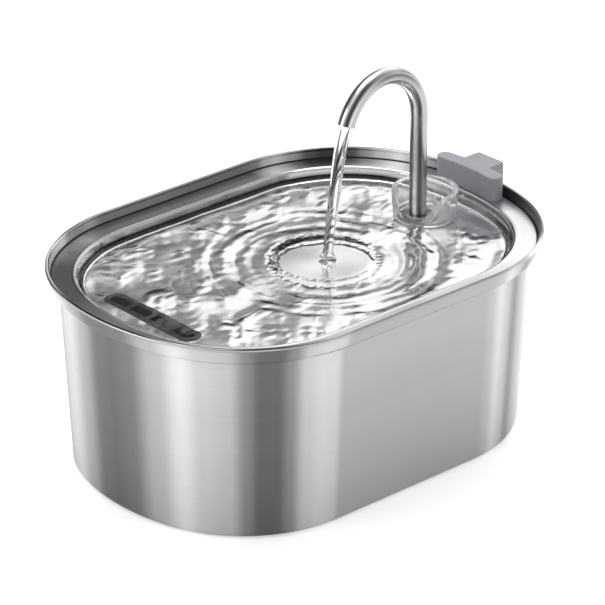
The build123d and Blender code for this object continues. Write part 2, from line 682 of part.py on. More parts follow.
# ---- Pump: fixed parts ----------------------------------------------------------------
def make_pump_housing():
    half = MOTOR_WIDTH / 2
    motor = box_between(
        (PUMP_X - half, VOLUTE_BACK_Y, MOTOR_BOTTOM), (PUMP_X + half, MOTOR_BACK_Y, MOTOR_TOP)
    )
    motor = fillet(motor.edges().filter_by(Axis.Y), MOTOR_CORNER)
    housing = motor + along_y(VOLUTE_RADIUS, VOLUTE_FRONT_Y, VOLUTE_BACK_Y + 1)
    housing += Pos(FAUCET_X, 0, 0) * upright(
        NOZZLE_BOSS_RADIUS, NOZZLE_BOSS_BOTTOM, NOZZLE_BOSS_TOP
    )
    housing += Pos(FAUCET_X, 0, 0) * upright(SPIGOT_RADIUS, NOZZLE_BOSS_TOP, NOZZLE_TOP)
    dry = box_between(
        (PUMP_X - half + MOTOR_WALL, VOLUTE_BACK_Y, MOTOR_BOTTOM + MOTOR_WALL),
        (PUMP_X + half - MOTOR_WALL, MOTOR_BACK_Y + 1, MOTOR_TOP - MOTOR_WALL),
    )
    housing -= fillet(dry.edges().filter_by(Axis.Y), MOTOR_CORNER / 2)
    housing += along_y(CAN_BORE + CAN_WALL, VOLUTE_BACK_Y - 0.5, CAN_END_Y)
    housing -= along_y(CHAMBER_RADIUS, VOLUTE_FRONT_Y - 1, CHAMBER_BACK_Y)
    housing -= along_y(CAN_BORE, CHAMBER_BACK_Y - 1, CAN_INNER_END_Y)
    housing -= along_y(BUSH_POCKET_RADIUS, CAN_INNER_END_Y - 1, CAN_INNER_END_Y + BUSH_POCKET_DEPTH)
    housing -= Pos(FAUCET_X, 0, 0) * upright(SPIGOT_BORE, 34, NOZZLE_TOP + 1)
    for x, y in CUP_PLACES:
        socket = upright(CUP_STEM_RADIUS + FIT_GAP, MOTOR_BOTTOM, MOTOR_BOTTOM + CUP_STEM_HEIGHT + 0.1)
        housing -= Pos(x, y, 0) * socket
    return housing


def make_stator_core():
    core = along_y(STATOR_RADIUS, STATOR_FRONT_Y, STATOR_BACK_Y)
    core -= along_y(STATOR_YOKE_BORE, STATOR_FRONT_Y - 1, STATOR_BACK_Y + 1)
    for pole in range(POLES):
        arm = box_between(
            (0, STATOR_FRONT_Y, -POLE_WIDTH / 2), (STATOR_YOKE_BORE + 1, STATOR_BACK_Y, POLE_WIDTH / 2)
        )
        core += Pos(PUMP_X, 0, AXIS_Z) * Rot(0, pole * 360 / POLES, 0) * arm
    return core - along_y(STATOR_POLE_BORE, STATOR_FRONT_Y - 1, STATOR_BACK_Y + 1)


def make_stator_coils():
    around = POLE_WIDTH / 2 + 0.1
    outer = box_between(
        (COIL_INNER_RADIUS, STATOR_FRONT_Y - COIL_THICKNESS, -around - COIL_THICKNESS),
        (COIL_OUTER_RADIUS, STATOR_BACK_Y + COIL_THICKNESS, around + COIL_THICKNESS),
    )
    outer = fillet(outer.edges().filter_by(Axis.X), COIL_THICKNESS * 0.9)
    core = box_between(
        (COIL_INNER_RADIUS - 1, STATOR_FRONT_Y - 0.1, -around),
        (COIL_OUTER_RADIUS + 1, STATOR_BACK_Y + 0.1, around),
    )
    coil = outer - core
    place = Pos(PUMP_X, 0, AXIS_Z)
    return [place * Rot(0, pole * 360 / POLES, 0) * coil for pole in range(POLES)]


def make_driver_board():
    half_x = MOTOR_WIDTH / 2 - MOTOR_WALL - 0.4
    low = MOTOR_BOTTOM + MOTOR_WALL + 0.4
    high = MOTOR_TOP - MOTOR_WALL - 0.4
    front = CAN_END_Y + 0.6
    board = box_between((PUMP_X - half_x, front, low), (PUMP_X + half_x, front + 1.5, high))
    board = fillet(board.edges().filter_by(Axis.Y), 1.5)
    back = front + 1.5
    board += box_between((PUMP_X - 3, back, 22), (PUMP_X + 5, back + 1.2, 30))
    board += box_between((PUMP_X + 9, back, 18), (PUMP_X + 13, back + 1.0, 22))
    for step in range(4):
        x = PUMP_X - 2 + 4 * step
        board += box_between((x, back, 34), (x + 2, back + 0.7, 35.2))
    return board


def on_gland_axis(radius, y_from, y_to):
    return along_y(radius, y_from, y_to, PUMP_GLAND_X, PUMP_GLAND_Z)


def make_pump_back_cover():
    half = MOTOR_WIDTH / 2
    plate = box_between(
        (PUMP_X - half, MOTOR_BACK_Y, MOTOR_BOTTOM), (PUMP_X + half, BACK_COVER_Y, MOTOR_TOP)
    )
    plate = fillet(plate.edges().filter_by(Axis.Y), MOTOR_CORNER)
    inner = MOTOR_WALL + 0.1
    lip = box_between(
        (PUMP_X - half + inner, MOTOR_BACK_Y - 2, MOTOR_BOTTOM + inner),
        (PUMP_X + half - inner, MOTOR_BACK_Y, MOTOR_TOP - inner),
    )
    lip = fillet(lip.edges().filter_by(Axis.Y), 1.4)
    deep = inner + 1.4
    lip -= box_between(
        (PUMP_X - half + deep, MOTOR_BACK_Y - 3, MOTOR_BOTTOM + deep),
        (PUMP_X + half - deep, MOTOR_BACK_Y, MOTOR_TOP - deep),
    )
    return plate + lip - on_gland_axis(PUMP_GLAND_RADIUS, MOTOR_BACK_Y - 1, BACK_COVER_Y + 1)


def make_pump_cord_gland():
    gland = on_gland_axis(PUMP_GLAND_RADIUS + 1.0, MOTOR_BACK_Y - 1.2, MOTOR_BACK_Y)
    gland += on_gland_axis(PUMP_GLAND_RADIUS, MOTOR_BACK_Y, BACK_COVER_Y)
    gland += on_gland_axis(PUMP_GLAND_RADIUS + 1.4, BACK_COVER_Y, BACK_COVER_Y + 1.4)
    taper_plane = Plane(origin=(PUMP_GLAND_X, BACK_COVER_Y + 3.4, PUMP_GLAND_Z), z_dir=(0, 1, 0))
    gland += taper_plane * Cone(3.4, 2.6, 4.0)
    return gland - on_gland_axis(CORD_RADIUS, MOTOR_BACK_Y - 2, BACK_COVER_Y + 6)


def make_suction_cups():
    foot = PUMP_FLOOR
    cups = []
    for x, y in CUP_PLACES:
        profile = Polyline(
            (0, foot + 1.6),
            (4.6, foot),
            (6.0, foot),
            (3.6, foot + 2.6),
            (3.6, MOTOR_BOTTOM),
            (CUP_STEM_RADIUS, MOTOR_BOTTOM),
            (CUP_STEM_RADIUS, MOTOR_BOTTOM + CUP_STEM_HEIGHT),
            (0, MOTOR_BOTTOM + CUP_STEM_HEIGHT),
            (0, foot + 1.6),
        )
        cups.append(Pos(x, y, 0) * revolve(Plane.XZ * make_face(profile), Axis.Z))
    return cups


def make_outlet_hose():
    return Pos(FAUCET_X, 0, 0) * (
        upright(HOSE_RADIUS, HOSE_BOTTOM, HOSE_TOP) - upright(HOSE_BORE, HOSE_BOTTOM, HOSE_TOP)
    )


# ---- Pump: rotor ------------------------------------------------------------------------
def make_impeller():
    wheel = along_y(IMPELLER_RADIUS, WHEEL_FRONT_Y, WHEEL_BACK_Y)
    wheel += along_y(ROTOR_CORE_RADIUS, BLADE_FRONT_Y, MAGNET_BACK_Y + 0.4)
    blade = box_between(
        (ROTOR_CORE_RADIUS - 0.5, BLADE_FRONT_Y, -BLADE_THICKNESS / 2),
        (IMPELLER_RADIUS, WHEEL_FRONT_Y, BLADE_THICKNESS / 2),
    )
    for number in range(IMPELLER_BLADES):
        wheel += Pos(PUMP_X, 0, AXIS_Z) * Rot(0, number * 360 / IMPELLER_BLADES, 0) * blade
    return wheel - along_y(SHAFT_RADIUS + FIT_GAP, BLADE_FRONT_Y - 1, MAGNET_BACK_Y + 1)


def make_rotor_magnet():
    return along_y(MAGNET_RADIUS, MAGNET_FRONT_Y, MAGNET_BACK_Y) - along_y(
        ROTOR_CORE_RADIUS, MAGNET_FRONT_Y, MAGNET_BACK_Y
    )


def make_impeller_shaft():
    return along_y(SHAFT_RADIUS, SHAFT_FRONT_Y, CAN_INNER_END_Y + BUSH_POCKET_DEPTH)


def make_rear_shaft_bush():
    back = CAN_INNER_END_Y + BUSH_POCKET_DEPTH
    return along_y(BUSH_POCKET_RADIUS, CAN_INNER_END_Y, back) - along_y(
        SHAFT_RADIUS, CAN_INNER_END_Y, back
    )


# ---- Pump: pull-off front -------------------------------------------------------------
def make_front_shaft_bush():
    return along_y(FRONT_BUSH_RADIUS, FRONT_BUSH_FRONT_Y, FRONT_BUSH_BACK_Y) - along_y(
        SHAFT_RADIUS + FIT_GAP, FRONT_BUSH_FRONT_Y, FRONT_BUSH_BACK_Y
    )


def make_volute_cover():
    cover = along_y(VOLUTE_RADIUS, COVER_FRONT_Y, VOLUTE_FRONT_Y)
    cover += along_y(COVER_LIP_RADIUS, VOLUTE_FRONT_Y, COVER_LIP_BACK_Y)
    cover -= along_y(COVER_LIP_BORE, VOLUTE_FRONT_Y, COVER_LIP_BACK_Y + 1)
    cover -= inlet_windows(COVER_FRONT_Y - 1, VOLUTE_FRONT_Y + 1)
    cover += along_y(HUB_RADIUS, COVER_FRONT_Y, FRONT_BUSH_BACK_Y)
    cover -= along_y(FRONT_BUSH_RADIUS, FRONT_BUSH_FRONT_Y, FRONT_BUSH_BACK_Y + 1)
    cover += along_y(DIAL_PIN_RADIUS, DIAL_FRONT_Y - 0.1, COVER_FRONT_Y)
    cover += along_y(DIAL_HEAD_RADIUS, DIAL_FRONT_Y - 0.9, DIAL_FRONT_Y - 0.1)
    groove = along_y(COVER_LIP_RADIUS + 1, -5.2, -4.2) - along_y(COVER_LIP_RADIUS - 0.9, -5.2, -4.2)
    return cover - groove


def make_cover_o_ring():
    middle = COVER_LIP_RADIUS - 0.45
    return Plane(origin=(PUMP_X, -4.7, AXIS_Z), z_dir=(0, 1, 0)) * Torus(middle, 0.45)


def make_flow_dial():
    dial = along_y(DIAL_RADIUS, DIAL_FRONT_Y, DIAL_BACK_Y)
    dial -= inlet_windows(DIAL_FRONT_Y - 1, DIAL_BACK_Y + 1)
    grip = Plane(origin=(DIAL_RADIUS, DIAL_FRONT_Y, 0), z_dir=(0, 1, 0)) * Circle(0.9)
    grip = extrude(grip, DIAL_BACK_Y - DIAL_FRONT_Y)
    for number in range(DIAL_GRIPS):
        dial += Pos(PUMP_X, 0, AXIS_Z) * Rot(0, number * 360 / DIAL_GRIPS, 0) * grip
    return dial - along_y(DIAL_PIN_RADIUS + FIT_GAP, DIAL_FRONT_Y - 1, DIAL_BACK_Y + 1)


# ---- Write one file for each piece -----------------------------------------------------
PIECES = {
    "tank": make_tank,
    "base_pad": make_base_pad,
    "tray": make_tray,
    "tray_gasket": make_tray_gasket,
    "drain_strainer": make_drain_strainer,
    "tray_grommet": make_tray_grommet,
    "splash_guard": make_splash_guard,
    "faucet_o_ring": make_faucet_o_ring,
    "faucet": make_faucet,
    "cord_block": make_cord_block,
    "cord_gland": make_cord_gland,
    "filter_box": make_filter_box,
    "filter_lid": make_filter_lid,
    "cartridge_frame": make_cartridge_frame,
    "carbon_pad": make_carbon_pad,
    "cartridge_cover": make_cartridge_cover,
    "foam_block": make_foam_block,
    "pump_housing": make_pump_housing,
    "stator_core": make_stator_core,
    "stator_coils": make_stator_coils,
    "driver_board": make_driver_board,
    "pump_back_cover": make_pump_back_cover,
    "pump_cord_gland": make_pump_cord_gland,
    "suction_cups": make_suction_cups,
    "outlet_hose": make_outlet_hose,
    "impeller": make_impeller,
    "rotor_magnet": make_rotor_magnet,
    "impeller_shaft": make_impeller_shaft,
    "rear_shaft_bush": make_rear_shaft_bush,
    "front_shaft_bush": make_front_shaft_bush,
    "volute_cover": make_volute_cover,
    "cover_o_ring": make_cover_o_ring,
    "flow_dial": make_flow_dial,
}

os.makedirs("parts", exist_ok=True)
for name, make in PIECES.items():
    made = make()
    solids = made if isinstance(made, list) else [made]
    node = Compound(label=name, children=[solid for piece in solids for solid in piece.solids()])
    export_step(node, f"parts/{name}.step")
    print(name, len(node.solids()), round(node.volume))
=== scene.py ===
import bmesh
import bpy
import math
from mathutils import Matrix, Vector, noise


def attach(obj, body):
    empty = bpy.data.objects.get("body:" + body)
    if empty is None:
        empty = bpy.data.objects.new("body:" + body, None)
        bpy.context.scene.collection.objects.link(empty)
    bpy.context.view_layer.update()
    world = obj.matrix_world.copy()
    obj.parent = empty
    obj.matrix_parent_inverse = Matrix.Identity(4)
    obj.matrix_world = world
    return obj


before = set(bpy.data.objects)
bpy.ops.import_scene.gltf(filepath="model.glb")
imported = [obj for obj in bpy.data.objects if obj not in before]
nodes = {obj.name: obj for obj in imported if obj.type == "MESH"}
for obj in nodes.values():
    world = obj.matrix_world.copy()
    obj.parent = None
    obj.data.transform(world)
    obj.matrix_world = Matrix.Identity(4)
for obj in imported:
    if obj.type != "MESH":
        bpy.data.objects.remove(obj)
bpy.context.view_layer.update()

MM = 0.001

# Rim outline, as the part's source has it: four corner arcs, two end arcs, two sides.
HALF_LENGTH = 129.0 * MM
HALF_WIDTH = 93.6 * MM
CORNER_RADIUS = 80.9 * MM
CORNER_X = 46.3 * MM
CORNER_Y = HALF_WIDTH - CORNER_RADIUS
CORNER_REACH = CORNER_X - HALF_LENGTH
END_RADIUS = (CORNER_RADIUS**2 - CORNER_REACH**2 - CORNER_Y**2) / (
    2 * (CORNER_REACH + CORNER_RADIUS)
)
END_X = HALF_LENGTH - END_RADIUS
END_ANGLE = math.atan2(CORNER_Y, CORNER_X - END_X)

# Spans of height, one height and two insets at which the steel's finish and its painted shade
# change.
TANK_WALL_SPAN = (0.0, 100.0 * MM)
SEAL_SPAN = (96.7 * MM, 102.7 * MM)
HEM_SPAN = (104.5 * MM, 107.5 * MM)
BASIN_WALL_SPAN = (96.5 * MM, 100.5 * MM)
GASKET_FOOT = 99.0 * MM
BEAD_INSET = 14.0 * MM
BASIN_WALL_INSET = 20.0 * MM
BRUSHED_ROUGHNESS = 0.34

# The water in the tray, and the drain slot below it.
WATER_TOP = 98.0 * MM
WATER_BOTTOM = 93.6 * MM
WATER_INSET = 16.2 * MM
WATER_FOOT_INSET = 17.3 * MM
SLOT_X = -93.6 * MM

# The faucet's post and bend, its spout, and the stream, with one painted dark fold down its side.
FAUCET_X = 82.7 * MM
BEND_Z = 152.9 * MM
BEND_RADIUS = 28.8 * MM
SPOUT_TURN = math.radians(185.7)
SPOUT_REACH = 55.5 * MM
SPOUT_Z = 163.7 * MM
STREAM_REACH = 68.2 * MM
STREAM_STEPS = 110
STREAM_SIDES = 40
PAINTED_FOLD_TURN = math.radians(174)

# The sunk disc where the stream lands, deepest on one side, and the rings round it, each
# with its radius, its height in millimetres and its width.
SPLASH_CENTRE = Vector((11.8 * MM, -7.6 * MM, WATER_TOP))
SPLASH_RADIUS = 24.5 * MM
SPLASH_SINK = 1.2 * MM
SPLASH_TURN = math.radians(100)
FINE_MESH_RADIUS = 34 * MM
RINGS = [(36 * MM, 0.25, 2.8 * MM), (45 * MM, 0.28, 2.4 * MM), (57 * MM, 0.46, 2.8 * MM)]


# ---- Small helpers for node trees -------------------------------------------------
def put(tree, socket, value):
    """Link a socket to another node's output, or set it to a plain value."""
    if isinstance(value, bpy.types.NodeSocket):
        tree.links.new(value, socket)
    else:
        socket.default_value = value


def add(tree, kind, values=None, **settings):
    """Add a node, set its properties, and link or set its sockets."""
    made = tree.nodes.new(kind)
    for key, value in settings.items():
        setattr(made, key, value)
    for key, value in (values or {}).items():
        put(tree, made.inputs[key], value)
    return made


def maths(tree, operation, first, second=0.0, clamp=False):
    """Result of one sum on two values."""
    made = add(tree, "ShaderNodeMath", {0: first, 1: second}, operation=operation, use_clamp=clamp)
    return made.outputs[0]


def part_way(tree, value, start, finish):
    """How far a value has come from start, at 0, to finish, at 1."""
    return maths(tree, "MULTIPLY", maths(tree, "SUBTRACT", value, start), 1.0 / (finish - start))


def choose(tree, amount, first, second):
    """Value between two others, by an amount from 0 to 1."""
    made = add(tree, "ShaderNodeMix", {0: amount, 2: first, 3: second}, data_type="FLOAT")
    return made.outputs[0]


def parts_of(tree, vector):
    """X, Y and Z of a vector."""
    return add(tree, "ShaderNodeSeparateXYZ", {0: vector}).outputs


def vector_of(tree, x, y, z=0.0):
    """Vector of X, Y and Z."""
    return add(tree, "ShaderNodeCombineXYZ", {0: x, 1: y, 2: z}).outputs[0]


def dot(tree, first, second):
    """Dot product of two vectors."""
    made = add(tree, "ShaderNodeVectorMath", {0: first, 1: second}, operation="DOT_PRODUCT")
    return made.outputs["Value"]


def away_from(tree, point, place):
    """Vector from a fixed place to a point."""
    made = add(tree, "ShaderNodeVectorMath", {0: point, 1: place}, operation="SUBTRACT")
    return made.outputs[0]


def length_of(tree, vector):
    """Length of a vector."""
    return add(tree, "ShaderNodeVectorMath", {0: vector}, operation="LENGTH").outputs["Value"]


def blend_colours(tree, amount, first, second, mode="MIX"):
    """Colour between two others, by an amount from 0 to 1."""
    made = add(tree, "ShaderNodeMix", data_type="RGBA", blend_type=mode)
    for key, value in ((0, amount), (6, first), (7, second)):
        put(tree, made.inputs[key], value)
    return made.outputs[2]


def tint(tree, first, second):
    """Product of two colours."""
    return blend_colours(tree, 1.0, first, second, "MULTIPLY")


def ramp(tree, amount, stops, interpolation="LINEAR"):
    """Colour ramp; a stop is (place, grey) or (place, colour)."""
    made = add(tree, "ShaderNodeValToRGB", {0: amount})
    band = made.color_ramp
    band.interpolation = interpolation
    while len(band.elements) < len(stops):
        band.elements.new(0.5)
    for element, (place, colour) in zip(band.elements, stops):
        element.position = place
        if isinstance(colour, (int, float)):
            colour = (colour, colour, colour)
        element.color = (*colour, 1.0)
    return made.outputs[0]


def eased(tree, amount, stops):
    """Colour ramp with soft steps between its stops."""
    return ramp(tree, amount, stops, "EASE")


def at_angles(stops):
    """Turn stops of (degrees, shade), from -180 to 180, into stops of a ramp."""
    return [((degrees + 180.0) / 360.0, shade) for degrees, shade in sorted(stops)]


def bands_round(tree, turn, stops):
    """Soft bands of (degrees, shade), by a turn that runs from 0 to 1."""
    return eased(tree, turn, at_angles(stops))


def noise_value(tree, vector, scale, detail=2.0, roughness=0.5, distortion=0.0):
    """Smooth noise from 0 to 1."""
    values = {"Vector": vector, "Scale": scale, "Detail": detail}
    values.update({"Roughness": roughness, "Distortion": distortion})
    return add(tree, "ShaderNodeTexNoise", values).outputs["Fac"]


def bump_from(tree, height, strength, distance):
    """Normal of a surface that a height roughens."""
    values = {"Height": height, "Strength": strength, "Distance": distance}
    return add(tree, "ShaderNodeBump", values).outputs[0]


def object_point(tree):
    """Place on the piece, in its own coordinates."""
    return add(tree, "ShaderNodeTexCoord").outputs["Object"]


def facing_of(tree):
    """Way the surface faces, in the piece's own coordinates."""
    return add(tree, "ShaderNodeTexCoord").outputs["Normal"]


def new_group(name, inputs, outputs):
    """Start a node group with named inputs, each with its default, and outputs."""
    group = bpy.data.node_groups.new(name, "ShaderNodeTree")
    for label, kind, default in inputs:
        socket = group.interface.new_socket(label, in_out="INPUT", socket_type=kind)
        socket.default_value = default
    for label, kind in outputs:
        group.interface.new_socket(label, in_out="OUTPUT", socket_type=kind)
    start = group.nodes.new("NodeGroupInput")
    end = group.nodes.new("NodeGroupOutput")
    return group, start.outputs, end.inputs


def use_group(tree, group, values):
    """Place a node group with its own values, and give its outputs."""
    return add(tree, "ShaderNodeGroup", values, node_tree=group).outputs


def new_material(name):
    """Start a material that has one principled shader."""
    material = bpy.data.materials.new(name)
    material.use_nodes = True
    tree = material.node_tree
    tree.nodes.clear()
    shader = tree.nodes.new("ShaderNodeBsdfPrincipled")
    output = tree.nodes.new("ShaderNodeOutputMaterial")
    tree.links.new(shader.outputs[0], output.inputs["Surface"])
    return material, tree, shader


def feed(tree, shader, **sockets):
    """Set or link the shader's sockets by name, with underscores for spaces."""
    for key, value in sockets.items():
        put(tree, shader.inputs[key.replace("_", " ")], value)


# ---- Effects that several finishes share --------------------------------------------
def make_brushing():
    """Fine lines of brushed steel: light and dark streaks, and a height for bump."""
    group, start, end = new_group(
        "brushed lines",
        [
            ("Vector", "NodeSocketVector", (0, 0, 0)),
            ("Fine", "NodeSocketFloat", 900.0),
            ("Along", "NodeSocketFloat", 6.0),
        ],
        [("Streaks", "NodeSocketFloat"), ("Height", "NodeSocketFloat")],
    )
    x, y, z = parts_of(group, start["Vector"])
    along_x = maths(group, "MULTIPLY", x, start["Along"])
    along_y = maths(group, "MULTIPLY", y, start["Along"])
    layers = []
    for share in (1.0, 0.31):
        across = maths(group, "MULTIPLY", z, maths(group, "MULTIPLY", start["Fine"], share))
        point = vector_of(group, along_x, along_y, across)
        layers.append(noise_value(group, point, 1.0, detail=3.0, roughness=0.65))
    streaks = maths(group, "MULTIPLY", maths(group, "ADD", layers[0], layers[1]), 0.5)
    group.links.new(streaks, end["Streaks"])
    group.links.new(layers[0], end["Height"])
    return group


def make_handling():
    """Faint smudges and wiped patches that change the gloss."""
    group, start, end = new_group(
        "handling marks",
        [("Vector", "NodeSocketVector", (0, 0, 0)), ("Amount", "NodeSocketFloat", 0.06)],
        [("Gloss change", "NodeSocketFloat")],
    )
    wide = noise_value(group, start["Vector"], 22.0, detail=4.0, roughness=0.6, distortion=0.4)
    change = maths(group, "MULTIPLY", maths(group, "SUBTRACT", wide, 0.5), start["Amount"])
    group.links.new(change, end["Gloss change"])
    return group


def make_ring_distance():
    """How far a point lies inside the rim's outline, and which way the rim faces there.

    Turn runs from 0 to 1 for -180 to 180 degrees.
    """
    group, start, end = new_group(
        "inset from rim",
        [("Vector", "NodeSocketVector", (0, 0, 0))],
        [("Inset", "NodeSocketFloat"), ("Turn", "NodeSocketFloat")],
    )
    x, y, _ = parts_of(group, start["Vector"])
    far_x = maths(group, "ABSOLUTE", x)
    far_y = maths(group, "ABSOLUTE", y)
    over_x = maths(group, "MAXIMUM", maths(group, "SUBTRACT", far_x, CORNER_X), 0.0)
    over_y = maths(group, "MAXIMUM", maths(group, "SUBTRACT", far_y, CORNER_Y), 0.0)
    from_end = maths(group, "SUBTRACT", far_x, END_X)
    corner_angle = maths(group, "ARCTAN2", over_y, over_x)
    end_angle = maths(group, "ARCTAN2", far_y, from_end)
    at_end = maths(group, "LESS_THAN", end_angle, END_ANGLE)
    to_corner = length_of(group, vector_of(group, over_x, over_y))
    to_end = length_of(group, vector_of(group, from_end, far_y))
    corner_inset = maths(group, "SUBTRACT", CORNER_RADIUS, to_corner)
    end_inset = maths(group, "SUBTRACT", END_RADIUS, to_end)
    group.links.new(choose(group, at_end, corner_inset, end_inset), end["Inset"])

    angle = choose(group, at_end, corner_angle, end_angle)
    side_x = maths(group, "MULTIPLY", maths(group, "COSINE", angle), maths(group, "SIGN", x))
    side_y = maths(group, "MULTIPLY", maths(group, "SINE", angle), maths(group, "SIGN", y))
    whole = maths(group, "ARCTAN2", side_y, side_x)
    turn = maths(group, "ADD", maths(group, "DIVIDE", whole, 2 * math.pi), 0.5)
    group.links.new(turn, end["Turn"])
    return group


def make_plastic_grain():
    """Fine moulded texture, as a height for bump and a slight change of shade."""
    group, start, end = new_group(
        "moulded grain",
        [("Vector", "NodeSocketVector", (0, 0, 0)), ("Scale", "NodeSocketFloat", 2500.0)],
        [("Height", "NodeSocketFloat"), ("Shade", "NodeSocketFloat")],
    )
    fine = noise_value(group, start["Vector"], start["Scale"])
    wide = noise_value(group, start["Vector"], 60.0, detail=3.0)
    group.links.new(fine, end["Height"])
    group.links.new(wide, end["Shade"])
    return group


BRUSHING = make_brushing()
HANDLING = make_handling()
RING_DISTANCE = make_ring_distance()
GRAIN = make_plastic_grain()


# ---- Steel finishes, with painted reflections and shade ------------------------------
# Painted reflections: bands of light and dark painted into the steel's colour round the oval,
# in degrees from the end with the faucet, and the same round the faucet's tube.
WALL_REFLECTION_BANDS = [
    (-180, 0.14), (-173, 0.18), (-166, 0.42), (-155, 0.7), (-147, 0.53), (-137, 0.47),
    (-130, 0.23), (-125, 0.13), (-118, 0.13), (-113, 0.24), (-107, 0.51), (-100, 0.59),
    (-94, 0.57), (-90, 0.41), (-86, 0.47), (-80, 0.66), (-76, 0.54), (-70, 0.27),
    (-62, 0.5), (-56, 0.66), (0, 0.45), (40, 0.2), (72, 0.5), (90, 0.42), (112, 0.14),
    (128, 0.58), (140, 0.32), (149, 0.32), (156, 0.56), (163, 0.61), (170, 0.36),
    (176, 0.15),
]
COLLAR_REFLECTION_BANDS = [
    (-180, 0.17), (-150, 0.3), (-120, 0.5), (-90, 0.3), (-60, 0.2), (-30, 0.13), (-2, 0.13),
    (0, 0.14), (12, 0.18), (22, 0.6), (28, 0.97), (35, 0.75), (41, 0.4), (46, 0.13),
    (57, 0.07), (63, 0.13), (70, 0.5), (76, 0.84), (81, 0.7), (85, 0.34), (92, 0.27),
    (100, 0.55), (107, 0.45), (112, 0.45), (118, 0.95), (138, 1.0), (145, 0.7), (150, 0.3),
    (156, 0.8), (165, 0.3), (175, 0.17),
]
INNER_REFLECTION_BANDS = [
    (-180, 0.45), (-120, 0.7), (-60, 0.5), (0, 0.4), (60, 0.7), (110, 0.5), (150, 0.75),
    (180, 0.45),
]
FLANGE_REFLECTION_BANDS = [
    (-180, 0.2), (-160, 0.18), (-140, 0.22), (-125, 0.28), (-110, 0.4), (-92, 0.66),
    (-80, 0.8), (-60, 0.97), (-20, 0.93), (-12, 0.5), (0, 0.45), (14, 0.3), (28, 0.9),
    (40, 0.55), (48, 0.3), (56, 0.09), (62, 0.12), (68, 0.25), (74, 0.55), (80, 0.66),
    (86, 0.45), (90, 0.22), (98, 0.22), (104, 0.3), (108, 0.43), (114, 0.3), (124, 0.2),
    (136, 0.1), (164, 0.1), (172, 0.16), (180, 0.2),
]
POST_REFLECTION_BANDS = [
    (-180, 0.12), (-171, 0.22), (-162, 0.95), (-155, 0.95), (-146, 0.42), (-137, 0.19),
    (-127, 0.16), (-119, 0.25), (-110, 0.52), (-90, 0.5), (0, 0.42), (140, 0.42),
    (160, 0.36), (174, 0.2),
]
CROWN_REFLECTION_BANDS = [
    (-150, 0.25), (-140, 0.5), (-128, 0.82), (-112, 0.42), (-95, 0.4), (-84, 0.24),
    (-73, 0.2), (-60, 0.6), (-48, 0.36), (-38, 0.5), (-22, 0.9), (0, 0.78), (20, 0.45),
    (90, 0.4),
]
SPOUT_REFLECTION_BANDS = [
    (-130, 0.7), (-95, 0.52), (-82, 0.43), (-73, 0.58), (-64, 0.85), (-56, 0.5), (-48, 0.1),
    (-38, 0.07), (-28, 0.3), (-18, 1.0), (-8, 0.5), (4, 0.07), (14, 0.15), (26, 0.34),
    (90, 0.3),
]

# How strongly the hem's painted lines of shade and highlight show round the oval, and where each
# kind of line lies.
HEM_PAINTED_LINE_STRENGTH = [
    (-180, 1.0), (-168, 1.0), (-160, 0.6), (-150, 0.45), (-138, 0.55), (-125, 1.0),
    (-110, 0.7), (-92, 0.25), (-80, 0.2), (-72, 0.0), (125, 0.0), (135, 1.0), (180, 1.0),
]
HEM_FRONT_PAINTED_LINES = [(-180, 1.0), (0, 1.0), (20, 0.0), (155, 0.0), (172, 1.0)]
HEM_CORNER_PAINTED_LINES = [(-76, 0.0), (-66, 1.0), (-25, 1.0), (-15, 0.0)]
HEM_CORNER_PAINTED_DIMMING = [(-60, 1.0), (-47, 0.3)]

COOL_STREAKS = [(0.35, (0.95, 0.965, 0.98)), (0.65, (1.0, 1.015, 1.03))]


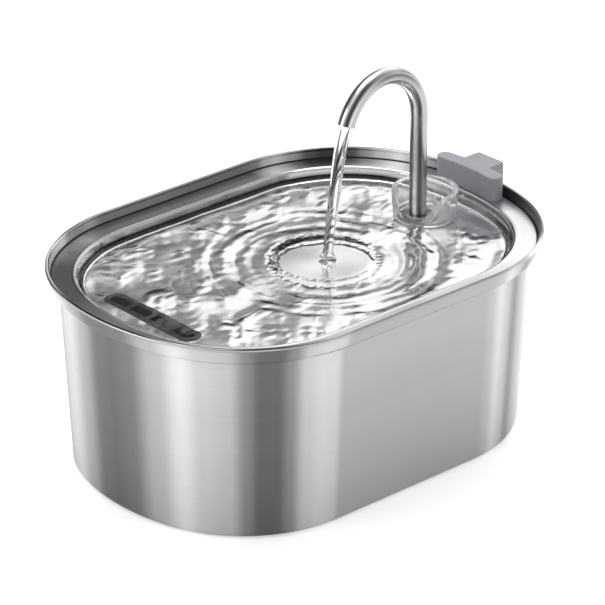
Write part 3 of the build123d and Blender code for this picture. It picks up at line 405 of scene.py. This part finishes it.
def steel_tank():
    """Brushed wall and collar, with painted reflection bands round the oval and thin painted lines
    of shade and highlight along the hem.
    """
    material, tree, shader = new_material("brushed tank steel")
    point = object_point(tree)
    z = parts_of(tree, point)[2]
    lines = use_group(tree, BRUSHING, {"Vector": point, "Fine": 2600.0, "Along": 3.0})
    marks = use_group(tree, HANDLING, {"Vector": point, "Amount": 0.08})
    turn = use_group(tree, RING_DISTANCE, {"Vector": point})["Turn"]

    # Painted reflections in bands round the oval, and painted shade that makes the outer wall a
    # little lighter from the foot up.
    up_wall = part_way(tree, z, *TANK_WALL_SPAN)
    painted_foot_shade = eased(tree, up_wall, [(0.0, 0.93), (0.3, 0.96), (0.6, 1.0), (0.9, 1.08)])
    outside = tint(tree, bands_round(tree, turn, WALL_REFLECTION_BANDS), painted_foot_shade)

    # The inner face points to the middle; its bands are painted reflections, and a painted black
    # shadow line lies where the gasket seals.
    level = maths(tree, "MULTIPLY", z, 0.02)
    outward = dot(tree, facing_of(tree), point)
    inner = maths(tree, "LESS_THAN", maths(tree, "SUBTRACT", outward, level), 0.0)
    collar = bands_round(tree, turn, COLLAR_REFLECTION_BANDS)
    below = bands_round(tree, turn, INNER_REFLECTION_BANDS)
    inside = blend_colours(tree, maths(tree, "LESS_THAN", z, GASKET_FOOT), collar, below)
    up_seal = part_way(tree, z, *SEAL_SPAN)
    painted_seal_shadow = eased(tree, up_seal, [(0.21, 1.0), (0.38, 0.02), (0.89, 0.02), (1.0, 1.0)])
    bands = blend_colours(tree, inner, outside, tint(tree, inside, painted_seal_shadow))

    # Round the far end, the front and the near corner the hem has thin painted lines: dark painted
    # shade and bright painted highlight.
    up_hem = part_way(tree, z, *HEM_SPAN)
    end_hem_painted_lines = eased(tree, up_hem, [(0.6, 0.04), (0.93, 0.05), (0.98, 0.8)])
    front_hem_painted_lines = eased(tree, up_hem, [(0.7, 0.3), (0.76, 0.8), (0.82, 0.75), (0.88, 0.03)])
    hem = blend_colours(tree, bands_round(tree, turn, HEM_FRONT_PAINTED_LINES), end_hem_painted_lines, front_hem_painted_lines)
    on_hem = ramp(tree, up_hem, [(0.53, 0.0), (0.6, 1.0)])
    painted_hem_line_amount = maths(tree, "MULTIPLY", on_hem, bands_round(tree, turn, HEM_PAINTED_LINE_STRENGTH))
    bands = blend_colours(tree, painted_hem_line_amount, bands, hem)
    corner_hem_painted_lines = eased(tree, up_hem, [(0.25, 0.6), (0.32, 0.12), (0.45, 0.15), (0.57, 0.95)])
    corner_hem_painted_lines = tint(tree, corner_hem_painted_lines, bands_round(tree, turn, HEM_CORNER_PAINTED_DIMMING))
    over_neck = ramp(tree, up_hem, [(0.2, 0.0), (0.28, 1.0)])
    at_corner = maths(tree, "MULTIPLY", over_neck, bands_round(tree, turn, HEM_CORNER_PAINTED_LINES))
    bands = blend_colours(tree, at_corner, bands, corner_hem_painted_lines)

    colour = tint(tree, bands, ramp(tree, lines["Streaks"], COOL_STREAKS))
    rough = maths(tree, "ADD", BRUSHED_ROUGHNESS, marks["Gloss change"])
    bump = bump_from(tree, lines["Height"], 0.05, 0.2 * MM)
    tangent = add(tree, "ShaderNodeTangent", direction_type="RADIAL", axis="Z").outputs[0]
    feed(tree, shader, Base_Color=colour, Roughness=rough, Metallic=1.0, Normal=bump)
    feed(tree, shader, Anisotropic=0.75, Anisotropic_Rotation=0.25, Tangent=tangent)
    return material


def steel_tray():
    """Brushed flange with painted reflection bands round the oval, and a bright polished basin
    with painted shade on its wall and crest.
    """
    material, tree, shader = new_material("brushed tray steel")
    point = object_point(tree)
    x, y, z = parts_of(tree, point)
    ring = use_group(tree, RING_DISTANCE, {"Vector": point})
    inset, turn = ring["Inset"], ring["Turn"]
    ring_point = vector_of(tree, x, y, inset)
    lines = use_group(tree, BRUSHING, {"Vector": ring_point, "Fine": 1500.0, "Along": 5.0})
    marks = use_group(tree, HANDLING, {"Vector": point, "Amount": 0.04})
    streak_shade = ramp(tree, lines["Streaks"], COOL_STREAKS)
    # Painted reflections: bands of light and dark on the flange round the oval.
    flange = tint(tree, bands_round(tree, turn, FLANGE_REFLECTION_BANDS), streak_shade)

    # The basin's wall has painted shade and reflection: black at the water and grey above it, but
    # light at the near end.
    up_wall = part_way(tree, z, *BASIN_WALL_SPAN)
    basin_wall_painted_shades = [(0.2, 0.3), (0.33, 0.05), (0.46, 0.07), (0.62, 0.3), (0.8, 0.5), (1.0, 0.6)]
    far_wall_painted_shade = eased(tree, up_wall, basin_wall_painted_shades)
    near_wall_painted_shade = eased(tree, up_wall, [(0.3, 1.0), (0.75, 0.9), (0.95, 0.3)])
    near_end = at_angles([(-70, 0.0), (-50, 1.0), (5, 0.8), (30, 0.0)])
    wall = blend_colours(tree, ramp(tree, turn, near_end), far_wall_painted_shade, near_wall_painted_shade)

    # Its floor is mottled, and painted shade makes the bead's crest half as bright, dimming its
    # highlight.
    mottling = ramp(tree, noise_value(tree, point, 26.0), [(0.35, 0.82), (0.65, 0.97)])
    level = tint(tree, mottling, ramp(tree, up_wall, [(0.9, 1.0), (1.0, 0.5)]))
    steep = eased(tree, parts_of(tree, facing_of(tree))[2], [(0.6, 1.0), (0.9, 0.0)])
    near_bead = maths(tree, "LESS_THAN", inset, BASIN_WALL_INSET)
    basin = blend_colours(tree, maths(tree, "MULTIPLY", steep, near_bead), level, wall)
    past_flange = maths(tree, "GREATER_THAN", inset, BEAD_INSET)
    colour = blend_colours(tree, past_flange, flange, basin)

    rough = maths(tree, "ADD", BRUSHED_ROUGHNESS, marks["Gloss change"])
    rough = maths(tree, "ADD", rough, maths(tree, "MULTIPLY", past_flange, -0.25))
    bump = bump_from(tree, lines["Height"], 0.02, 0.2 * MM)
    feed(tree, shader, Base_Color=colour, Roughness=rough, Metallic=1.0, Normal=bump)
    return material


def steel_faucet():
    """Polished tube: painted reflection bands run along it, by the angle round its own middle
    line.
    """
    material, tree, shader = new_material("polished faucet steel")
    point = object_point(tree)
    facing = facing_of(tree)
    turn = SPOUT_TURN - math.pi
    ahead = (math.cos(turn), math.sin(turn), 0.0)
    aside = (-math.sin(turn), math.cos(turn), 0.0)

    # How far round the bend, from the post at 0 to half a turn.
    shifted = away_from(tree, point, (FAUCET_X, 0, BEND_Z))
    above = maths(tree, "MAXIMUM", parts_of(tree, shifted)[2], 0.0)
    out = maths(tree, "ADD", dot(tree, shifted, ahead), BEND_RADIUS)
    bend = maths(tree, "ARCTAN2", above, out)

    # How far round the tube, from the bend's outer side.
    level_part = maths(tree, "MULTIPLY", dot(tree, facing, ahead), maths(tree, "COSINE", bend))
    up_part = maths(tree, "MULTIPLY", parts_of(tree, facing)[2], maths(tree, "SINE", bend))
    outward = maths(tree, "ADD", level_part, up_part)
    round_tube = maths(tree, "ARCTAN2", dot(tree, facing, aside), outward)
    place = maths(tree, "ADD", maths(tree, "DIVIDE", round_tube, 2 * math.pi), 0.5)

    along = maths(tree, "DIVIDE", bend, math.pi)
    onto_crown = eased(tree, along, [(0.12, 0.0), (0.33, 1.0)])
    onto_spout = eased(tree, along, [(0.5, 0.0), (0.68, 1.0)])
    # Painted reflections: bands round the post, the bend's crown and the spout, blended along the
    # bend.
    post = bands_round(tree, place, POST_REFLECTION_BANDS)
    crown = bands_round(tree, place, CROWN_REFLECTION_BANDS)
    spout = bands_round(tree, place, SPOUT_REFLECTION_BANDS)
    bands = blend_colours(tree, onto_crown, post, crown)
    bands = blend_colours(tree, onto_spout, bands, spout)
    wide = noise_value(tree, point, 90.0, detail=3.0)
    tone = ramp(tree, wide, [(0.3, (0.92, 0.93, 0.94)), (0.7, (1.0, 1.0, 1.0))])
    marks = use_group(tree, HANDLING, {"Vector": point, "Amount": 0.05})
    rough = maths(tree, "ADD", 0.2, marks["Gloss change"])
    feed(tree, shader, Base_Color=tint(tree, bands, tone), Roughness=rough, Metallic=1.0)
    return material


# ---- Other finishes ------------------------------------------------------------------
def moulded_plastic(name, light, dark, rough):
    """Opaque moulded plastic with a fine grain and a slight change of shade."""
    material, tree, shader = new_material(name)
    point = object_point(tree)
    grain = use_group(tree, GRAIN, {"Vector": point, "Scale": 2500.0})
    marks = use_group(tree, HANDLING, {"Vector": point, "Amount": 0.1})
    colour = ramp(tree, grain["Shade"], [(0.35, dark), (0.65, light)])
    roughness = maths(tree, "ADD", rough, marks["Gloss change"])
    bump = bump_from(tree, grain["Height"], 0.05, 0.3 * MM)
    feed(tree, shader, Base_Color=colour, Roughness=roughness, Normal=bump)
    return material


def clear_plastic():
    """Clear moulding with a milky haze, strongest on its upward faces, which a painted highlight
    also makes lighter.
    """
    material, tree, shader = new_material("clear guard plastic")
    marks = use_group(tree, HANDLING, {"Vector": object_point(tree), "Amount": 0.04})
    upward = parts_of(tree, facing_of(tree))[2]
    frost = ramp(tree, upward, [(0.3, 0.03), (0.9, 0.22)])
    rough = maths(tree, "ADD", frost, marks["Gloss change"], clamp=True)
    # Painted highlight: the upward faces are lighter, the sides a little greyer.
    colour = ramp(tree, upward, [(0.2, (0.93, 0.94, 0.95)), (0.8, (1.0, 1.0, 1.0))])
    feed(tree, shader, Base_Color=colour, Roughness=rough, IOR=1.15, Transmission_Weight=0.75)
    return material


def clear_water():
    """The tray's water, greyer over the sunk disc by painted shade."""
    material, tree, shader = new_material("clear water")
    point = object_point(tree)
    bump = bump_from(tree, noise_value(tree, point, 120.0, detail=1.0), 0.05, 0.4 * MM)
    wide = noise_value(tree, point, 30.0)
    colour = ramp(tree, wide, [(0.3, (0.97, 0.98, 0.98)), (0.7, (1.0, 1.0, 1.0))])
    # Painted shade over the sunk disc.
    away = length_of(tree, away_from(tree, point, SPLASH_CENTRE))
    across = maths(tree, "DIVIDE", away, 2 * SPLASH_RADIUS)
    disc_painted_shades = [(0.0, (0.82, 0.805, 0.805)), (0.42, (0.82, 0.81, 0.81)), (0.5, (1.0, 1.0, 1.0))]
    colour = tint(tree, colour, eased(tree, across, disc_painted_shades))
    feed(tree, shader, Base_Color=colour, Roughness=0.0, Normal=bump)
    feed(tree, shader, IOR=1.33, Transmission_Weight=1.0)
    return material


def falling_water():
    """Clear stream: painted shade greys it where its skin turns away, with one painted dark fold
    down one side.
    """
    material, tree, shader = new_material("falling water")
    # Painted shade: grey where the skin turns away from the viewer.
    turned_away = add(tree, "ShaderNodeLayerWeight", {"Blend": 0.5}).outputs["Facing"]
    edge = eased(tree, turned_away, [(0.55, 1.0), (0.85, 0.7), (1.0, 0.3)])
    # Painted shade: the dark fold down one side, read from the stream's attribute.
    fold = add(tree, "ShaderNodeAttribute", attribute_name="fold").outputs["Fac"]
    colour = tint(tree, edge, eased(tree, fold, [(0.2, 1.0), (0.6, 0.02)]))
    feed(tree, shader, Base_Color=colour, Roughness=0.0, IOR=1.33, Transmission_Weight=1.0)
    return material


def simple_finish(name, light, dark, rough, metallic=0.0, scale=80.0):
    """Finish for an inner piece: two shades mottled by noise, with a little bump."""
    material, tree, shader = new_material(name)
    point = object_point(tree)
    wide = noise_value(tree, point, scale, detail=5.0, roughness=0.6)
    fine = noise_value(tree, point, scale * 12.0)
    colour = ramp(tree, wide, [(0.35, dark), (0.65, light)])
    roughness = ramp(tree, fine, [(0.2, rough - 0.05), (0.8, rough + 0.05)])
    bump = bump_from(tree, fine, 0.15, 0.3 * MM)
    feed(tree, shader, Base_Color=colour, Roughness=roughness, Metallic=metallic, Normal=bump)
    return material


# Each is a name, a light and a dark shade, and a roughness.
block_plastic = moulded_plastic(
    "grey block plastic", (0.325, 0.333, 0.36), (0.295, 0.302, 0.33), 0.5
)
strainer_plastic = moulded_plastic(
    "dark strainer plastic", (0.02, 0.02, 0.022), (0.01, 0.01, 0.011), 0.35
)
pump_plastic = moulded_plastic(
    "black pump plastic", (0.035, 0.035, 0.04), (0.025, 0.025, 0.03), 0.4
)
box_plastic = moulded_plastic(
    "smoky box plastic", (0.35, 0.40, 0.44), (0.30, 0.35, 0.40), 0.25
)
white_plastic = moulded_plastic(
    "white cartridge plastic", (0.80, 0.80, 0.79), (0.74, 0.74, 0.73), 0.4
)
blue_plastic = moulded_plastic(
    "blue dial plastic", (0.12, 0.30, 0.44), (0.10, 0.26, 0.40), 0.4
)
black_silicone = simple_finish("black silicone", (0.03, 0.03, 0.032), (0.02, 0.02, 0.022), 0.5)
milky_silicone = simple_finish("milky silicone", (0.75, 0.77, 0.78), (0.68, 0.70, 0.72), 0.4)
grey_rubber = simple_finish("grey gland rubber", (0.10, 0.10, 0.11), (0.07, 0.07, 0.08), 0.6)
carbon = simple_finish("carbon felt", (0.06, 0.06, 0.06), (0.02, 0.02, 0.02), 0.9, scale=300.0)
foam = simple_finish("open foam", (0.07, 0.08, 0.1), (0.02, 0.02, 0.03), 0.9, scale=500.0)
ferrite = simple_finish("ferrite magnet", (0.06, 0.06, 0.06), (0.04, 0.04, 0.04), 0.5)
ceramic = simple_finish("ground ceramic", (0.85, 0.84, 0.80), (0.80, 0.79, 0.75), 0.2)
laminated = simple_finish("laminated steel", (0.35, 0.35, 0.37), (0.25, 0.25, 0.27), 0.5, 1.0)
copper = simple_finish("enamelled copper", (0.75, 0.33, 0.14), (0.6, 0.24, 0.1), 0.35, 1.0, 400.0)
green_board = simple_finish("green board", (0.03, 0.22, 0.10), (0.02, 0.16, 0.07), 0.35)
finishes = {
    "tank": steel_tank(),
    "tray": steel_tray(),
    "faucet": steel_faucet(),
    "splash_guard": clear_plastic(),
    "cord_block": block_plastic,
    "drain_strainer": strainer_plastic,
    "flow_dial": blue_plastic,
    "cord_gland": grey_rubber,
    "carbon_pad": carbon,
    "foam_block": foam,
    "rotor_magnet": ferrite,
    "impeller_shaft": ceramic,
    "stator_core": laminated,
    "stator_coils": copper,
    "driver_board": green_board,
}
for names, finish in (
    (("pump_housing", "pump_back_cover", "volute_cover"), pump_plastic),
    (("filter_box", "filter_lid"), box_plastic),
    (("cartridge_frame", "cartridge_cover", "impeller"), white_plastic),
    (("tray_grommet", "faucet_o_ring", "outlet_hose"), milky_silicone),
    (("base_pad", "tray_gasket", "pump_cord_gland", "suction_cups"), black_silicone),
    (("rear_shaft_bush", "front_shaft_bush", "cover_o_ring"), black_silicone),
):
    finishes.update(dict.fromkeys(names, finish))
for name, node in nodes.items():
    node.data.materials.clear()
    node.data.materials.append(finishes[name])


# ---- Pieces made here: the water ------------------------------------------------------
def keep_piece(bm, name, body, material):
    """Turn a bmesh into a finished piece that moves with a body."""
    mesh = bpy.data.meshes.new(name)
    for face in bm.faces:
        face.smooth = True
    bm.to_mesh(mesh)
    bm.free()
    piece = bpy.data.objects.new(name, mesh)
    bpy.context.scene.collection.objects.link(piece)
    mesh.materials.append(material)
    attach(piece, body)


def limited(value, low=0.0):
    """Value kept between low and 1."""
    return min(1.0, max(low, value))


def noise_at(x, y, z):
    """Smooth noise from -1 to 1 at a place."""
    return noise.noise(Vector((x, y, z)))


def oval_inset(x, y):
    """How far a point lies inside the rim's outline."""
    if abs(y) < (abs(x) - END_X) * math.tan(END_ANGLE):
        return END_RADIUS - math.hypot(abs(x) - END_X, y)
    over_x = max(abs(x) - CORNER_X, 0.0)
    over_y = max(abs(y) - CORNER_Y, 0.0)
    return CORNER_RADIUS - math.hypot(over_x, over_y)


def move_to_inset(vertex, inset):
    """Move a point square to the rim until it lies at an inset."""
    step = 0.1 * MM
    for _ in range(3):
        x, y = vertex.co.x, vertex.co.y
        slope_x = oval_inset(x + step, y) - oval_inset(x - step, y)
        slope_y = oval_inset(x, y + step) - oval_inset(x, y - step)
        slope = Vector((slope_x, slope_y)).normalized()
        short = inset - oval_inset(x, y)
        vertex.co.x += slope.x * short
        vertex.co.y += slope.y * short


def open_waves(x, y, away):
    """Height of the waves in millimetres: calm near the disc, and raised at the wall."""
    swell = noise_at(x * 36 + y * 30, y * 40 - x * 28, 0.3)
    chop = noise_at(x * 104 + y * 50 + 7, y * 114 - x * 44, 1.7)
    crease = abs(noise_at(x * 95, y * 105 + 3, 4.1)) + abs(noise_at(x * 180 + 5, y * 200, 8.3))
    dents = max(0.0, noise_at(x * 72 + y * 20 + 3, y * 88 - x * 20, 11.0) - 0.2)
    pits = max(0.0, noise_at(x * 92 + y * 34, y * 128 - x * 40, 5.0) - 0.25)
    pits *= limited(abs(x - SLOT_X) / (16 * MM))
    waves = 0.85 * swell + 0.2 * chop + 0.08 * crease - 1.2 * dents - 1.0 * pits
    calm = limited((away - SPLASH_RADIUS) / (40 * MM))
    from_wall = oval_inset(x, y) - WATER_INSET
    waves = waves * (0.25 + 0.75 * calm) * limited(from_wall / (9 * MM), 0.3)
    return waves + 0.45 * math.exp(-from_wall / (1.3 * MM))


def ring_wave(away, radius, height, width):
    """Height of one ring at a distance from the disc's middle."""
    return height * math.exp(-(((away - radius) / width) ** 2))


def wave_height(x, y):
    """Height above the level: waves and rings outside the lip, and the sunk disc inside."""
    across = x - SPLASH_CENTRE.x
    along = y - SPLASH_CENTRE.y
    away = math.hypot(across, along)
    turn = math.atan2(along, across)
    waves = open_waves(x, y, away)
    strength = 0.62 + 0.38 * math.cos(turn - SPLASH_TURN)
    lip = SPLASH_RADIUS + 1.2 * MM * noise_at(math.cos(turn) * 5, math.sin(turn) * 5, 2.0)
    tatters = 0.5 + 0.9 * noise_at(x * 420, y * 420, 6.0)
    rings = ring_wave(away, lip + 2.2 * MM, tatters * strength, 1.6 * MM)
    rings += sum(ring_wave(away, *ring) for ring in RINGS)
    outside_height = (waves + rings) * MM
    inside = limited((lip - away) / (1.8 * MM) + 0.5)
    return outside_height * (1 - inside) - SPLASH_SINK * inside * strength


def make_tray_water():
    """Waved sheet of water with a skirt down to the basin's floor."""
    bm = bmesh.new()
    bmesh.ops.create_grid(bm, x_segments=250, y_segments=170, size=1.0)
    half_size = (HALF_LENGTH - WATER_INSET, HALF_WIDTH - WATER_INSET, 1)
    bmesh.ops.scale(bm, vec=half_size, verts=bm.verts)
    outside = [v for v in bm.verts if oval_inset(v.co.x, v.co.y) < WATER_INSET]
    bmesh.ops.delete(bm, geom=outside, context="VERTS")

    # Twice as fine round the splash.
    middle = Vector((SPLASH_CENTRE.x, SPLASH_CENTRE.y, 0))
    near = [f for f in bm.faces if (f.calc_center_median() - middle).length < FINE_MESH_RADIUS]
    splash_edges = list({edge for face in near for edge in face.edges})
    bmesh.ops.subdivide_edges(bm, edges=splash_edges, cuts=1, use_grid_fill=True)

    rim = [edge for edge in bm.edges if edge.is_boundary]
    for vertex in {vertex for edge in rim for vertex in edge.verts}:
        move_to_inset(vertex, WATER_INSET)
    for vertex in bm.verts:
        vertex.co.z = WATER_TOP + wave_height(vertex.co.x, vertex.co.y)
    skirt = bmesh.ops.extrude_edge_only(bm, edges=rim)["geom"]
    for vertex in [item for item in skirt if isinstance(item, bmesh.types.BMVert)]:
        move_to_inset(vertex, WATER_FOOT_INSET)
        vertex.co.z = WATER_BOTTOM
    foot = [item for item in skirt if isinstance(item, bmesh.types.BMEdge) and item.is_boundary]
    bmesh.ops.edgeloop_fill(bm, edges=foot)
    bmesh.ops.recalc_face_normals(bm, faces=bm.faces)
    keep_piece(bm, "tray_water", "tray", clear_water())


def stream_point(fall):
    """Middle of the falling water, from 0 at the spout to 1 at the tray's water."""
    reach = SPOUT_REACH + (STREAM_REACH - SPOUT_REACH) * fall
    drop = SPOUT_Z - WATER_TOP + SPLASH_SINK
    height = SPOUT_Z - drop * (0.43 * fall + 0.57 * fall * fall)
    x = FAUCET_X + reach * math.cos(SPOUT_TURN)
    return Vector((x, reach * math.sin(SPOUT_TURN), height))


def stream_radius(fall, turn):
    """Narrows as it falls, with long folds in its skin and a flared foot."""
    radius = (3.4 - 0.75 * fall) * MM
    fold = noise_at(math.cos(turn) * 0.9, math.sin(turn) * 0.9, fall * 2.2)
    ripple = noise_at(math.cos(turn) * 1.6, math.sin(turn) * 1.6, fall * 9 + 9)
    uneven = limited(fall * 5) * (0.06 * fold + 0.02 * ripple * fall)
    foot = math.exp(-(((1.0 - fall) / 0.018) ** 2))
    fluted = 1 + 0.18 * math.sin(5 * turn)
    return radius * (1 + uneven) + 1.5 * MM * foot * fluted


def painted_fold_depth(fall, turn):
    """Strength of one long painted dark fold, widest half of the way down."""
    across = (turn - PAINTED_FOLD_TURN + math.pi) % (2 * math.pi) - math.pi
    width = 0.6 * math.exp(-(((fall - 0.47) / 0.16) ** 2)) + 0.12
    ends = limited((0.74 - fall) * 6) * limited(fall * 14)
    return math.exp(-((across / width) ** 2)) * ends


def make_water_stream():
    """Closed tube of water from the spout to the disc, with the painted dark fold kept as an
    attribute.
    """
    bm = bmesh.new()
    bmesh.ops.create_circle(bm, segments=STREAM_SIDES, radius=1.0, cap_ends=True)
    ring = list(bm.edges)
    for _ in range(STREAM_STEPS):
        made = bmesh.ops.extrude_edge_only(bm, edges=ring)["geom"]
        raised = [item for item in made if isinstance(item, bmesh.types.BMVert)]
        bmesh.ops.translate(bm, vec=(0, 0, 1), verts=raised)
        ring = [item for item in made if isinstance(item, bmesh.types.BMEdge)]
    bmesh.ops.edgeloop_fill(bm, edges=ring)
    side = Vector((-math.sin(SPOUT_TURN), math.cos(SPOUT_TURN), 0))
    # Strength of the painted dark fold, kept on each point.
    folds = bm.verts.layers.float.new("fold")
    for vertex in bm.verts:
        fall = vertex.co.z / STREAM_STEPS
        turn = math.atan2(vertex.co.y, vertex.co.x)
        along = (stream_point(fall + 0.01) - stream_point(fall - 0.01)).normalized()
        out = side.cross(along).normalized()
        way = side * math.sin(turn) + out * math.cos(turn)
        vertex.co = stream_point(fall) + way * stream_radius(fall, turn)
        vertex[folds] = painted_fold_depth(fall, turn)
    bmesh.ops.recalc_face_normals(bm, faces=bm.faces)
    keep_piece(bm, "water_stream", "faucet", falling_water())


make_tray_water()
make_water_stream()


# ---- Floor, light and camera -------------------------------------------------------
def make_floor():
    """Pale floor that looks white and keeps a soft shadow."""
    bm = bmesh.new()
    bmesh.ops.create_grid(bm, x_segments=1, y_segments=1, size=9.0)
    mesh = bpy.data.meshes.new("floor")
    bm.to_mesh(mesh)
    bm.free()
    floor = bpy.data.objects.new("floor", mesh)
    bpy.context.scene.collection.objects.link(floor)
    material, tree, shader = new_material("pale floor")
    path = add(tree, "ShaderNodeLightPath").outputs
    seen = maths(tree, "ADD", path["Is Camera Ray"], path["Is Glossy Ray"], clamp=True)
    seen = maths(tree, "ADD", seen, path["Is Transmission Ray"], clamp=True)
    to_camera = maths(tree, "MULTIPLY", path["Is Camera Ray"], 0.16)
    glow = maths(tree, "ADD", maths(tree, "MULTIPLY", seen, 0.3), to_camera)
    feed(tree, shader, Base_Color=(0.9, 0.9, 0.9, 1.0), Roughness=0.9, Specular_IOR_Level=0.0)
    feed(tree, shader, Emission_Color=(1.0, 1.0, 1.0, 1.0), Emission_Strength=glow)
    mesh.materials.append(material)


def make_world():
    """White near the horizon, and above it a bright window with a sloping lower edge."""
    world = bpy.data.worlds.new("studio")
    bpy.context.scene.world = world
    world.use_nodes = True
    tree = world.node_tree
    tree.nodes.clear()
    to_window, beside_window = (0.667, 0.745, 0.0), (0.745, -0.667, 0.0)
    way = add(tree, "ShaderNodeTexCoord").outputs["Generated"]
    rise = parts_of(tree, way)[2]
    ahead = dot(tree, way, to_window)
    right = dot(tree, way, beside_window)
    sideways = maths(tree, "DIVIDE", right, maths(tree, "MAXIMUM", ahead, 0.2))

    # The window's lower edge slopes between its lowest and its highest point, and is soft.
    middle, slope, lowest, highest, sharpness = 0.42, 2.3, 0.24, 0.54, 3.6
    edge = maths(tree, "SUBTRACT", middle, maths(tree, "MULTIPLY", sideways, slope))
    edge = maths(tree, "MINIMUM", maths(tree, "MAXIMUM", edge, lowest), highest)
    over = maths(tree, "MULTIPLY", maths(tree, "SUBTRACT", rise, edge), sharpness)
    window = eased(tree, maths(tree, "ADD", over, 0.5), [(0.0, 0.0), (1.0, 1.0)])
    low_shades = [(0.0, 1.0), (0.12, 0.95), (0.22, 0.45), (0.32, 0.16), (0.6, 0.14)]
    low_sky = eased(tree, rise, low_shades)
    high_sky = eased(tree, rise, [(0.5, 1.3), (0.75, 0.8), (1.0, 0.6)])
    window_side = blend_colours(tree, window, low_sky, high_sky)

    # The window and the dark band under it stand on one side of the room only.
    plain_shades = [(0.0, 1.0), (0.14, 0.95), (0.3, 0.5), (0.6, 0.7), (1.0, 0.8)]
    plain_side = eased(tree, rise, plain_shades)
    facing = maths(tree, "ADD", maths(tree, "MULTIPLY", ahead, 0.5), 0.5)
    facing = eased(tree, facing, [(0.55, 0.0), (0.75, 1.0)])
    sky = blend_colours(tree, facing, plain_side, window_side)
    background = add(tree, "ShaderNodeBackground", {"Color": sky, "Strength": 1.0})
    output = tree.nodes.new("ShaderNodeOutputWorld")
    tree.links.new(background.outputs[0], output.inputs["Surface"])


def softbox(name, place, target, width, height, power):
    """Square lamp that points from its place to a target."""
    light = bpy.data.lights.new(name, "AREA")
    light.shape = "RECTANGLE"
    light.size = width
    light.size_y = height
    light.energy = power
    lamp = bpy.data.objects.new(name, light)
    bpy.context.scene.collection.objects.link(lamp)
    direction = Vector(target) - Vector(place)
    turn = direction.to_track_quat("-Z", "Y").to_matrix().to_4x4()
    lamp.matrix_world = Matrix.Translation(place) @ turn


def make_camera():
    """Long lens, above and to one side of the front."""
    data = bpy.data.cameras.new("camera")
    camera = bpy.data.objects.new("camera", data)
    bpy.context.scene.collection.objects.link(camera)
    data.sensor_fit = "HORIZONTAL"
    data.sensor_width = 36.0
    focal_pixels, width_pixels = 3719.8, 605.0
    data.lens = focal_pixels / width_pixels * data.sensor_width
    data.clip_start = 0.05
    data.clip_end = 60.0
    azimuth = math.radians(-41.848)
    elevation = math.radians(25.624)
    distance = 1893.9 * MM
    level = math.cos(elevation)
    back = Vector((math.sin(azimuth) * level, -math.cos(azimuth) * level, math.sin(elevation)))
    target = Vector((21.721, 20.091, 60.0)) * MM
    turn = back.to_track_quat("Z", "Y").to_matrix().to_4x4()
    camera.matrix_world = Matrix.Translation(target + back * distance) @ turn
    bpy.context.scene.camera = camera


make_floor()
make_world()
softbox("top softbox", (0.3, 0.5, 1.8), (0, 0, 0.1), 1.4, 1.0, 14.0)
softbox("side softbox", (-1.4, 0.6, 0.9), (0, 0, 0.08), 0.8, 0.9, 5.0)
make_camera()
bpy.context.scene.view_settings.view_transform = "Standard"
